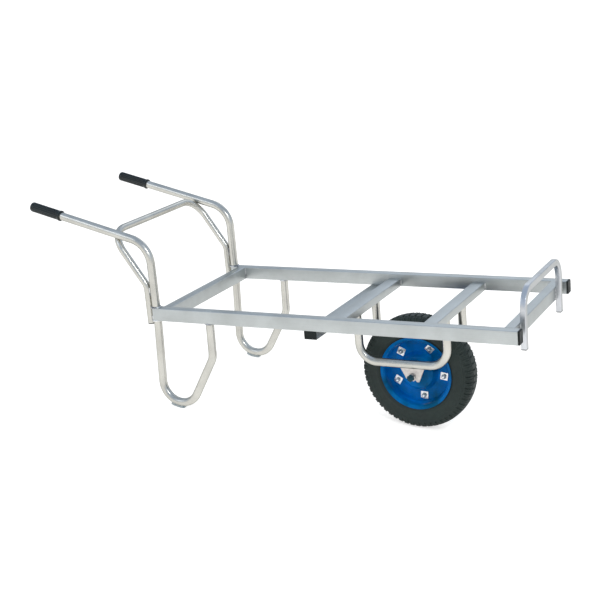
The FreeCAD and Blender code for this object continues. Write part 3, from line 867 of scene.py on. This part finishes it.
def add_cross_tube(name, node, x, z, width, height, end_y=RAIL_INNER_Y):
    """A box tube across the bed, open at its ends."""
    outer = rectangle(width, height, BOX_CORNER)
    inner = rectangle(width - 2 * RAIL_WALL, height - 2 * RAIL_WALL, BOX_INNER_CORNER)
    tube = Shape()
    tube.sweep([Vector((x, -end_y, z)), Vector((x, end_y, z))], outer, X_AXIS, hollow=inner)
    add(name, tube, "extruded_aluminium", node)


def make_cross_members():
    front_x = CROSS_FRONT_X - CROSS_DEPTH / 2
    rear_x = CROSS_REAR_X + CROSS_DEPTH / 2
    cross = (BED_MIDDLE_Z, CROSS_DEPTH, RAIL_HEIGHT)
    bearer = (BED_LOW_Z + BEARER_HEIGHT / 2, BEARER_DEPTH, BEARER_HEIGHT)
    under_z = BED_LOW_Z - UNDER_HEIGHT / 2
    add_cross_tube("crossmember_front", "front_crossmember", front_x, *cross)
    add_cross_tube("crossmember_rear", "rear_crossmember", rear_x, *cross)
    add_cross_tube("bearer_rear", "wheel_bearer_rear", BRACKET_REAR_X, *bearer)
    add_cross_tube("bearer_front", "wheel_bearer_front", BRACKET_FRONT_X, *bearer)
    add_cross_tube("under_bar", "under_tube", UNDER_X, under_z, UNDER_DEPTH, UNDER_HEIGHT, UNDER_END_Y)
    size = (UNDER_DEPTH, UNDER_HEIGHT, 2.0)
    for side, tag in SIDES:

        def place(out, a, b):
            return (UNDER_X + a, side * (UNDER_END_Y + out), under_z + b)

        add_cap("under_bar_plug_" + tag, "under_tube_plug_" + tag, size, PLUG_STEPS, place, 0.3, 0.5)


def make_handle(side, tag):
    corners, centre = handle_line(side * RAIL_Y)
    line = rounded_line(corners, [HANDLE_BEND, LEAN_BEND, LOOP_BEND, KNEE_BEND])
    tube = Shape()
    tube.sweep(line, circle(TUBE_RADIUS, 44), Y_AXIS)
    add("handle_and_leg_" + tag, tube, "aluminium_tube", "handle_leg_tube_" + tag)
    make_grip(corners, tag)
    make_shoe(centre, tag)


def make_grip(corners, tag):
    """A ribbed grip with a closed round end and a flange."""
    heading = (corners[1] - corners[0]).normalized()
    start = corners[0] - heading * GRIP_END
    total = GRIP_LENGTH + GRIP_END
    rim = total - FLANGE
    rib_end = rim - RIB_MARGIN
    steps = 26
    ribs = [RIB_START + (rib_end - RIB_START) * k / steps for k in range(steps + 1)]
    profile = GRIP_NOSE + [(GRIP_RADIUS, along) for along in ribs]
    profile += [
        (GRIP_RADIUS, rim - 3.0),
        (GRIP_RADIUS + 0.3, rim - 1.0),
        (FLANGE_RADIUS - 0.4, rim),
        (FLANGE_RADIUS, rim + 0.8),
        (FLANGE_RADIUS, total - 1.0),
        (FLANGE_RADIUS - 0.6, total),
        (TUBE_RADIUS + 0.6, total),
        (TUBE_RADIUS, total - 0.6),
        (TUBE_RADIUS, total - 6.0),
    ]
    count = GROOVES * GROOVE_POINTS
    ways = ways_around(heading, count)
    rings = []
    vs = [0.0]
    for i, (radius, along) in enumerate(profile):
        ring = []
        fade = 0.0
        if radius == GRIP_RADIUS:
            inside = min(along - RIB_START, rib_end - along)
            fade = max(0.0, min(1.0, inside / GROOVE_RUN_OUT))
        for k, way in enumerate(ways):
            phase = abs((k % GROOVE_POINTS) - GROOVE_POINTS / 2) / (GROOVE_POINTS / 2)
            cut = GROOVE_DEPTH * fade * max(0.0, 1 - (1 - phase) / GROOVE_SHARE)
            ring.append(start + heading * along + way * max(0.0, radius - cut))
        rings.append(ring)
        if i:
            vs.append(vs[-1] + math.dist(profile[i - 1], profile[i]))
    us = [2 * math.pi * GRIP_RADIUS * k / count for k in range(count + 1)]
    grip = Shape()
    grip.grid(rings, us, vs)
    add("handle_grip_" + tag, grip, "grip_rubber", "grip_" + tag, sharp=50)


def make_shoe(centre, tag):
    """A curved wear strip that hugs the loop's underside."""
    outer = LOOP_BEND + TUBE_RADIUS + SHOE_THICKNESS
    inner = outer - SHOE_THICKNESS
    span = SHOE_LENGTH / (LOOP_BEND + TUBE_RADIUS)
    half = SHOE_WIDTH / 2
    section = [(inner - 3.4, -half), (outer - 1.0, -half), (outer, -half + 1.0), (outer, half - 1.0)]
    section += [(outer - 1.0, half), (inner - 3.4, half), (inner - 0.4, half * 0.45)]
    section += [(inner - 0.1, 0.0), (inner - 0.4, -half * 0.45)]
    steps = 24
    rings = []
    for k in range(steps + 1):
        way = flat_way(SHOE_ANGLE - span / 2 + span * k / steps)
        rings.append([centre + way * r + Y_AXIS * y for r, y in section])
    shoe = Shape()
    shoe.block(rings)
    # The wear strip gets the darkened zinc look: painted shade.
    add("wear_strip_" + tag, shoe, "aluminium_plate", "leg_shoe_" + tag, look="zinc_with_painted_shade", bevel=0.5)


def make_rear_hoop():
    rise = Vector((-math.cos(HOOP_SLANT), 0, math.sin(HOOP_SLANT)))
    corner = Vector((HOOP_X, -RAIL_Y, HOOP_ELBOW_Z)) + rise * HOOP_REACH
    near = [(HOOP_X, HOOP_LOW_Z), (HOOP_X, HOOP_ELBOW_Z), (corner.x, corner.z)]
    points = [Vector((x, -RAIL_Y, z)) for x, z in near]
    points += [Vector((x, RAIL_Y, z)) for x, z in near[::-1]]
    bends = [HOOP_ELBOW_BEND, HOOP_CORNER_BEND, HOOP_CORNER_BEND, HOOP_ELBOW_BEND]
    hoop = Shape()
    hoop.sweep(rounded_line(points, bends), circle(HOOP_RADIUS, 40), Y_AXIS)
    add("hoop_rear", hoop, "aluminium_tube", "rear_hoop")
    r = HOOP_RADIUS
    outline = [(0.0, -HOOP_CAP), (r - 1.4, -HOOP_CAP), (r - 0.4, -2.5), (r, -1.6)]
    outline += [(r, -0.05), (r - 2.0, 0.3), (r - 2.0, 4.0), (0.0, 4.0)]
    for side, tag in SIDES:
        cap = Shape()
        cap.turn(Vector((HOOP_X, side * RAIL_Y, HOOP_LOW_Z)), Z_AXIS, outline, 40)
        add("hoop_rear_cap_" + tag, cap, "black_plastic", "rear_hoop_cap_" + tag)


def make_front_hoop():
    x = CROSS_FRONT_X + FRONT_HOOP_DEPTH / 2
    top = FRONT_HOOP_TOP_Z - FRONT_HOOP_WIDTH / 2
    y = FRONT_HOOP_Y
    z = FRONT_HOOP_LOW_Z
    points = [Vector((x, -y, z)), Vector((x, -y, top)), Vector((x, y, top)), Vector((x, y, z))]
    line = rounded_line(points, [FRONT_HOOP_BEND, FRONT_HOOP_BEND])
    hoop = Shape()
    hoop.sweep(line, rectangle(FRONT_HOOP_DEPTH, FRONT_HOOP_WIDTH, 2.2), X_AXIS)
    add("hoop_front", hoop, "aluminium_tube", "front_hoop", look="aluminium_hoop")
    size = (FRONT_HOOP_DEPTH, FRONT_HOOP_WIDTH, 2.2)
    for side, tag in SIDES:

        def place(out, a, b):
            return (x + a, side * y + b, z - out)

        add_cap("hoop_front_cap_" + tag, "front_hoop_cap_" + tag, size, FOOT_CAP_STEPS, place)


def crossing(p, d, q, e):
    """Where two flat lines, each a point and a direction, meet."""
    det = d[0] * e[1] - d[1] * e[0]
    t = ((q[0] - p[0]) * e[1] - (q[1] - p[1]) * e[0]) / det
    return (p[0] + d[0] * t, p[1] + d[1] * t)


def axle_plate_outline():
    """The tapered plate with its open slot and a notch for a tab washer, as (x, z)."""
    way = (math.cos(SLOT_ANGLE), math.sin(SLOT_ANGLE))
    above = (way[1] * SLOT_HALF, -way[0] * SLOT_HALF)
    below = (-above[0], -above[1])
    first = math.atan2(below[1], below[0])
    arc = []
    for k in range(17):
        a = first + math.pi * k / 16
        arc.append((SLOT_HALF * math.cos(a), SLOT_HALF * math.sin(a)))
    upper_exit = crossing(above, way, (0.0, 0.0), PLATE_MOUTH)
    lower_exit = crossing(below, way, (0.0, 0.0), PLATE_HOOK)
    corners = [PLATE_HOOK, PLATE_HOOK_LOW, PLATE_NOTCH] + PLATE_FOOT
    corners += [PLATE_PRONG, PLATE_MOUTH, upper_exit, lower_exit]
    rounded = round_corners(corners, PLATE_BENDS, 4)
    return rounded[:-2] + [upper_exit] + arc[::-1] + [lower_exit]


def make_bracket(side, tag):
    y = side * BRACKET_Y
    corners = [(BRACKET_REAR_X, BED_LOW_Z), (BRACKET_REAR_X, BRACKET_LOW_Z)]
    corners += [(BRACKET_FRONT_X, BRACKET_LOW_Z), (BRACKET_FRONT_X, BED_LOW_Z)]
    line = rounded_line([Vector((x, y, z)) for x, z in corners], [BRACKET_BEND, BRACKET_BEND])
    tube = Shape()
    tube.sweep(line, circle(TUBE_RADIUS, 44), Y_AXIS)
    add("bracket_" + tag, tube, "aluminium_tube", "wheel_bracket_" + tag)
    plate = Shape()
    plate.prism(axle_plate_outline(), side * (PLATE_Y - PLATE / 2), side * (PLATE_Y + PLATE / 2))
    add("axle_bracket_" + tag, plate, "aluminium_plate", "axle_plate_" + tag, bevel=0.45)


def make_axle():
    half = [(0.0, AXLE_END_Y), (AXLE_RADIUS - 1.2, AXLE_END_Y), (AXLE_RADIUS - 0.2, AXLE_END_Y - 1.0)]
    y = AXLE_END_Y - THREAD_PITCH
    while y > THREAD_START:
        half.append((AXLE_RADIUS, y))
        half.append((AXLE_RADIUS - THREAD_DEPTH, y - 0.6))
        y -= THREAD_PITCH
    half.append((AXLE_RADIUS, THREAD_START - 2))
    bar = Shape()
    bar.turn((0, 0, 0), Y_AXIS, half + [(r, -h) for r, h in reversed(half)], 36)
    # The axle's dark teal look is painted shade.
    add("axle_bar", bar, "zinc_steel", "axle", look="dark_steel", sharp=60)


def make_axle_fasteners():
    """Washers and nuts outside the plates, lock nuts and spacers inside them."""
    out = PLATE_Y + PLATE / 2
    inside = PLATE_Y - PLATE / 2
    lock_y = inside - LOCK_NUT_HEIGHT
    bore = AXLE_RADIUS - 0.4
    edge = WASHER_THICKNESS - 0.4
    disc = [(AXLE_RADIUS + 0.3, 0.0), (9.6, 0.0), (WASHER_RADIUS, 0.4), (WASHER_RADIUS, edge)]
    disc += [(9.6, WASHER_THICKNESS), (AXLE_RADIUS + 0.5, WASHER_THICKNESS)]
    start = POCKET_Y + 0.4
    tube = [(AXLE_RADIUS, start), (8.6, start), (9.0, POCKET_Y + 0.9), (9.0, lock_y - 0.5)]
    tube += [(8.6, lock_y), (AXLE_RADIUS, lock_y)]
    nut_corner, lock_corner = flat_way(SLOT_ANGLE), flat_way(LOCK_NUT_ANGLE)
    washers, nuts, locks, sleeves = Shape(), Shape(), Shape(), Shape()
    for side, _ in SIDES:
        axis = Y_AXIS * side
        nut_at = axis * (out + WASHER_THICKNESS)
        washers.turn(axis * out, axis, disc, 56, closed=True)
        nuts.hexagon(nut_at, axis, AXLE_NUT_ACROSS, AXLE_NUT_HEIGHT, nut_corner, bore)
        locks.hexagon(axis * lock_y, axis, AXLE_NUT_ACROSS, LOCK_NUT_HEIGHT, lock_corner, bore)
        sleeves.turn((0, 0, 0), axis, tube, 44, closed=True)
    add("outer_washers", washers, "zinc_steel", "axle_washers")
    # The outer nuts' dark teal is painted shade.
    add("outer_nuts", nuts, "dark_steel", "axle_nuts")
    add("lock_nuts", locks, "zinc_steel", "axle_lock_nuts")
    add("hub_sleeves", sleeves, "zinc_steel", "axle_spacers")


def add_ring_welds(name, node, spots, seed):
    beads = Shape()
    ways = ways_around(Z_AXIS, 40)
    for i, spot in enumerate(spots):
        line = [Vector(spot) + way * RING_WELD_RADIUS for way in ways]
        beads.bead(line, RING_BEAD, closed=True, seed=seed + i)
    add(name, beads, "weld_bead", node, sharp=60)


def straight_welds(side):
    """Straight welds of one side by their first seed, each as (start, end, bead radius)."""
    y = side * RAIL_Y
    inner = side * RAIL_INNER_Y
    low, high = BED_LOW_Z + WELD_SETBACK, BED_TOP_Z - WELD_SETBACK

    def upright(x, y, radius, z0=low, z1=high):
        return (x, y, z0), (x, y, z1), radius

    hoop_x = LEG_REAR_X - TUBE_RADIUS - 0.2
    hoop = [upright(hoop_x, y + dy, HOOP_BEAD, *span) for span in HOOP_SEAMS for dy in (-4.6, 4.6)]
    rail = [upright(RAIL_REAR_X - 0.3, y + dy, FRAME_BEAD) for dy in (-9.0, 9.0)]
    cross = []
    for x, depth, height in (
        (CROSS_FRONT_X - CROSS_DEPTH / 2, CROSS_DEPTH, RAIL_HEIGHT),
        (CROSS_REAR_X + CROSS_DEPTH / 2, CROSS_DEPTH, RAIL_HEIGHT),
        (BRACKET_REAR_X, BEARER_DEPTH, BEARER_HEIGHT),
        (BRACKET_FRONT_X, BEARER_DEPTH, BEARER_HEIGHT),
    ):
        span = (BED_LOW_Z + 2, BED_LOW_Z + height - 2)
        cross += [upright(x + dx, inner, FRAME_BEAD, *span) for dx in (-depth / 2, depth / 2)]
    under = []
    for x in (UNDER_X - UNDER_DEPTH / 2, UNDER_X + UNDER_DEPTH / 2):
        under.append(((x, y - 11, BED_LOW_Z), (x, y + 11, BED_LOW_Z), FINE_BEAD))
    front = []
    for dy in (-FRONT_HOOP_WIDTH / 2, FRONT_HOOP_WIDTH / 2):
        front.append(upright(CROSS_FRONT_X + 0.4, side * FRONT_HOOP_Y + dy, 2.4))
    plate = []
    plate_z = BRACKET_LOW_Z - TUBE_RADIUS + 1.0
    for dy in (-PLATE / 2 - 0.6, PLATE / 2 + 0.6):
        plate_y = side * PLATE_Y + dy
        plate.append(((-31, plate_y, plate_z), (42, plate_y, plate_z), FINE_BEAD))
    shoe = []
    _, centre = handle_line(y)
    for way in (-1, 1):
        angle = SHOE_ANGLE + way * (SHOE_LENGTH / 2) / (LOOP_BEND + TUBE_RADIUS)
        at = centre + flat_way(angle) * (LOOP_BEND + TUBE_RADIUS + 0.6)
        shoe.append((at - Y_AXIS * 5, at + Y_AXIS * 5, 1.5))
    return {31: hoop, 41: rail, 51: cross, 61: under, 71: front, 81: plate, 91: shoe}


def make_welds(side, tag):
    y = side * RAIL_Y
    under, over = BED_LOW_Z - WELD_LIFT, BED_TOP_Z + WELD_LIFT
    legs = [(LEG_REAR_X, y, over), (LEG_REAR_X, y, under), (LEG_FRONT_X, y, under)]
    add_ring_welds("leg_weld_" + tag, "leg_welds_" + tag, legs, 11)
    brackets = [(x, side * BRACKET_Y, under) for x in (BRACKET_REAR_X, BRACKET_FRONT_X)]
    add_ring_welds("bracket_weld_" + tag, "bracket_welds_" + tag, brackets, 21)
    beads = Shape()
    for seed, welds in straight_welds(side).items():
        for i, (start, end, radius) in enumerate(welds):
            beads.bead([start, end], radius, seed=seed + i)
    add("frame_weld_" + tag, beads, "weld_bead", sharp=60)


def thicken(line, thickness):
    """A closed outline of a sheet that follows a smooth open line."""
    offset = []
    last = len(line) - 1
    for i in range(len(line)):
        r0, y0 = line[max(i - 1, 0)]
        r2, y2 = line[min(i + 1, last)]
        way = Vector((r2 - r0, y2 - y0)).normalized()
        offset.append((line[i][0] + way.y * thickness, line[i][1] - way.x * thickness))
    return list(line) + offset[::-1]


def make_rim(side, tag):
    line = round_corners(RIM_LINE, RIM_BENDS, 6, closed=False)
    outline = [(r, -side * y) for r, y in thicken(line, RIM_SHEET)]
    rim = Shape()
    rim.turn((0, 0, 0), Y_AXIS, outline, 144, closed=True)
    add("rim_" + tag, rim, "blue_enamel", "rim_half_" + tag, body="wheel", sharp=45)


def square_rings(at, turn):
    """A square washer on the near side, turned by an angle, with its outer edge broken."""
    h = SQUARE_HALF
    square = round_corners([(h, -h), (h, h), (-h, h), (-h, -h)], [1.6] * 4, 4)
    rings = []
    for y, inset in ((-2.02, 0.0), (-3.5, 0.0), (-3.85, 0.25), (-4.0, 0.7)):
        ring = []
        for a, b in square:
            a, b = a * (1 - inset / h), b * (1 - inset / h)
            dx = a * math.cos(turn) + b * math.sin(turn)
            dz = -a * math.sin(turn) + b * math.cos(turn)
            ring.append(at + Vector((dx, y, dz)))
        rings.append(ring)
    return rings


def make_rim_fasteners():
    plates, heads, nuts = Shape(), Shape(), Shape()
    shank = [(0.0, -1.9), (3.7, -1.9)]
    y = -1.5
    while y < BOLT_END - 1.5:
        shank += [(BOLT_RADIUS, y), (BOLT_RADIUS - 0.55, y + 0.6)]
        y += 1.25
    shank += [(3.4, BOLT_END - 0.6), (2.9, BOLT_END), (0.0, BOLT_END)]
    for i, angle in enumerate(BOLT_ANGLES):
        at = Vector((BOLT_CIRCLE * math.cos(angle), 0, BOLT_CIRCLE * math.sin(angle)))
        head_at, nut_at = at + Y_AXIS * 2.0, at - Y_AXIS * 4.0
        head_corner, nut_corner = flat_way(math.radians(35 * i)), flat_way(math.radians(20 * i))
        plates.block(square_rings(at, WASHER_TURNS[i]))
        heads.hexagon(head_at, Y_AXIS, RIM_NUT_ACROSS, BOLT_HEAD_HEIGHT, head_corner)
        heads.turn(at, -Y_AXIS, shank, 28)
        nuts.hexagon(nut_at, -Y_AXIS, RIM_NUT_ACROSS, RIM_NUT_HEIGHT, nut_corner, BOLT_RADIUS - 0.4)
    add("square_plates", plates, "zinc_steel", "square_washers", body="wheel")
    add("bolt_heads", heads, "zinc_steel", "rim_bolts", body="wheel")
    # The nuts get the darkened zinc look: painted shade and a painted dark reflection.
    add("bolt_nuts", nuts, "zinc_steel", "rim_nuts", look="zinc_with_painted_shade", body="wheel")


def gap_share(local, width):
    """One inside a gap that starts at zero, with sloped edges, and zero outside it."""
    if local >= width:
        return 0.0
    return min(1.0, local / CUT_EDGE, (width - local) / CUT_EDGE)


def cut_depth(share, radius, y):
    """How deep the tread is cut at a share of a turn. The far shoulder is half a lug behind."""
    behind = 0.5 / LUGS if y > 0 else 0.0
    local = ((share + behind) * LUGS) % 1.0
    across = abs(y)
    depth = 0.0
    if radius > 157.0:
        low = min(1.0, max(0.0, (radius - 159.0) / 3.0))
        edge = max(0.0, (across - 18.6) / 0.8)
        inner = min(1.0, edge, 0.2 + 0.8 * max(0.0, (across - 19.0) / 12.0))
        depth = LUG_DEPTH * gap_share(local, LUG_GAP) * low * inner
        if SIPE[0] < local < SIPE[1] and radius > 162.0 and across > 18.6:
            depth = SIPE_DEPTH
    if radius > 173.0:
        if GROOVE_Y[0] < across < GROOVE_Y[1]:
            edge = min(1.0, (across - 16.0) / 0.8, (GROOVE_Y[1] - across) / 0.8)
            depth = max(depth, TREAD_GROOVE_DEPTH * edge)
        if MIDDLE_Y[0] < across < MIDDLE_Y[1]:
            middle = ((share + 0.25 / LUGS) * LUGS) % 1.0
            depth = max(depth, MIDDLE_DEPTH * gap_share(middle, MIDDLE_GAP))
    return max(0.0, depth)


def make_tyre():
    """A lugged tyre: shoulder blocks, two grooves and a row of blocks between them."""
    shares = [(i + p) / LUGS for i in range(LUGS) for p in LUG_PATTERN]
    angles = [2 * math.pi * share for share in shares]
    outside = TYRE_OUTSIDE + [(r, -y) for r, y in reversed(TYRE_OUTSIDE[:-1])]
    rings = []
    vs = [0.0]
    for i, (r, y) in enumerate(outside):
        slope = max(0.0, (abs(y) - 28.0) / 10.0)
        ring = []
        for share, a in zip(shares, angles):
            depth = cut_depth(share, r, y)
            radius = r - depth * (1 - 0.6 * slope)
            side = y - math.copysign(depth * slope * 0.75, y)
            ring.append((radius * math.cos(a), side, radius * math.sin(a)))
        rings.append(ring)
        if i:
            vs.append(vs[-1] + math.dist(outside[i - 1], outside[i]))
    for r, y in TYRE_INSIDE + [(r, -y) for r, y in reversed(TYRE_INSIDE)]:
        rings.append([(r * math.cos(a), y, r * math.sin(a)) for a in angles])
        vs.append(vs[-1] + 10.0)
    us = [WHEEL_RADIUS * a for a in angles + [2 * math.pi]]
    tyre = Shape()
    tyre.grid(rings, us, vs + [vs[-1] + 10.0], close_rows=True)
    add("tyre_lugged", tyre, "tyre_rubber", "tyre", body="wheel", sharp=38)


def make_valve():
    way = flat_way(VALVE_ANGLE)
    origin = Vector((0, VALVE_Y, 0))
    along, thread_end, pitch = STEM_THREAD
    thread = []
    while along < thread_end:
        thread += [(3.0, along), (2.55, along + pitch / 2)]
        along += pitch
    stem = Shape()
    stem.turn(origin, way, STEM_TIP + thread + STEM_FOOT, 32)
    add("valve_tube", stem, "brass_stem", "valve_stem", body="wheel", sharp=45)
    cap = Shape()
    cap.turn(origin, way, DUST_CAP, 24)
    add("valve_dust_cap", cap, "black_plastic", "valve_cap", body="wheel", sharp=40)


def make_stage():
    """A pale floor that looks white to the camera and still takes shadows."""
    reach = 30.0
    corners = [(-reach, -reach, 0), (reach, -reach, 0), (reach, reach, 0), (-reach, reach, 0)]
    floor = bpy.data.meshes.new("floor")
    floor.from_pydata(corners, [], [(0, 1, 2, 3)])
    obj = put("floor", floor)
    obj.location.z = -0.0004
    look = Look("floor_paper", (0.86, 0.86, 0.85), 0.0, 0.9)
    grain = look.noise(3.0, detail=2.0)
    look.tones(grain, (0.3, (0.85, 0.85, 0.84)), (0.7, (0.87, 0.87, 0.865)))
    look.set("Specular IOR Level", 0.0)
    glow = look.node("ShaderNodeEmission")
    glow.inputs["Color"].default_value = (1, 1, 1, 1)
    glow.inputs["Strength"].default_value = 0.62
    both = look.node("ShaderNodeAddShader")
    look.link(look.shader.outputs[0], both.inputs[0])
    look.link(glow.outputs[0], both.inputs[1])
    seen = ray_is(look.tree, "Is Camera Ray", "Is Glossy Ray", "Is Transmission Ray")
    final = mix_shaders(look.tree, seen, look.shader.outputs[0], both.outputs[0])
    look.link(final, look.tree.nodes["Material Output"].inputs["Surface"])
    floor.materials.append(look.material)


def make_world():
    """White to the camera, a soft dome for light and a pale sky for reflections."""
    world = bpy.data.worlds.new("studio")
    SCENE.world = world
    world.use_nodes = True
    tree = world.node_tree
    tree.nodes.clear()
    link = tree.links.new
    where = tree.nodes.new("ShaderNodeTexCoord")
    split = tree.nodes.new("ShaderNodeSeparateXYZ")
    link(where.outputs["Generated"], split.inputs[0])

    def background(stops=None):
        made = tree.nodes.new("ShaderNodeBackground")
        made.inputs["Strength"].default_value = 1.0
        made.inputs["Color"].default_value = (1, 1, 1, 1)
        if stops:
            ramp = tree.nodes.new("ShaderNodeValToRGB")
            fill_ramp(ramp, stops)
            link(split.outputs["Z"], ramp.inputs["Fac"])
            link(ramp.outputs["Color"], made.inputs["Color"])
        return made.outputs[0]

    dome = background([(0.0, (0.52, 0.52, 0.51)), (0.5, (0.60, 0.60, 0.60)), (1.0, (0.62, 0.64, 0.68))])
    near_floor = [(0.0, (1.0, 1.0, 0.96)), (0.10, (0.94, 0.96, 0.97))]
    sky = background(near_floor + [(0.26, (0.66, 0.76, 0.91)), (1.0, (0.50, 0.61, 0.78))])
    shiny = mix_shaders(tree, ray_is(tree, "Is Glossy Ray"), dome, sky)
    seen = ray_is(tree, "Is Camera Ray", "Is Transmission Ray")
    final = mix_shaders(tree, seen, shiny, background())
    link(final, tree.nodes.new("ShaderNodeOutputWorld").inputs["Surface"])


def area_lamp(name, at, target, size, power, color):
    data = bpy.data.lights.new(name, "AREA")
    data.energy = power
    data.color = color
    data.size = size
    lamp = put(name, data)
    lamp.location = at
    lamp.rotation_euler = (Vector(target) - Vector(at)).to_track_quat("-Z", "Y").to_euler()


def make_lamps():
    area_lamp("key", (2.3, -2.3, 2.9), (0.1, 0, 0.3), 0.22, 34, (1.0, 0.99, 0.97))
    area_lamp("side", (-2.4, -2.8, 2.4), (0.0, 0, 0.3), 1.6, 12, (0.97, 0.98, 1.0))
    area_lamp("back", (-0.6, 3.2, 2.6), (0, 0, 0.3), 2.0, 10, (1.0, 1.0, 1.0))


def make_camera():
    data = bpy.data.cameras.new("camera")
    data.sensor_width = 36.0
    data.lens = 73.56
    cam = put("camera", data)
    azimuth, elevation, roll = math.radians(26.29), math.radians(19.09), math.radians(1.06)
    target = Vector((0.0265, 0.0, 0.3325))
    distance = 3.8523
    level = math.cos(elevation)
    back = Vector((math.sin(azimuth) * level, -math.cos(azimuth) * level, math.sin(elevation)))
    right = Vector((math.cos(azimuth), math.sin(azimuth), 0))
    up = back.cross(right)
    across = right * math.cos(roll) + up * math.sin(roll)
    above = up * math.cos(roll) - right * math.sin(roll)
    axes = Matrix((across, above, back)).transposed()
    cam.matrix_world = Matrix.Translation(target + back * distance) @ axes.to_4x4()
    SCENE.camera = cam


def main():
    SCENE.view_settings.view_transform = "Standard"
    dress_cad_nodes()
    for side, tag in SIDES:
        make_rails(side, tag)
        make_handle(side, tag)
        make_bracket(side, tag)
        make_welds(side, tag)
        make_rim(side, tag)
    make_cross_members()
    make_rear_hoop()
    make_front_hoop()
    make_axle()
    make_axle_fasteners()
    make_rim_fasteners()
    make_tyre()
    make_valve()
    make_stage()
    make_world()
    make_lamps()
    make_camera()
    bpy.context.view_layer.update()


main()
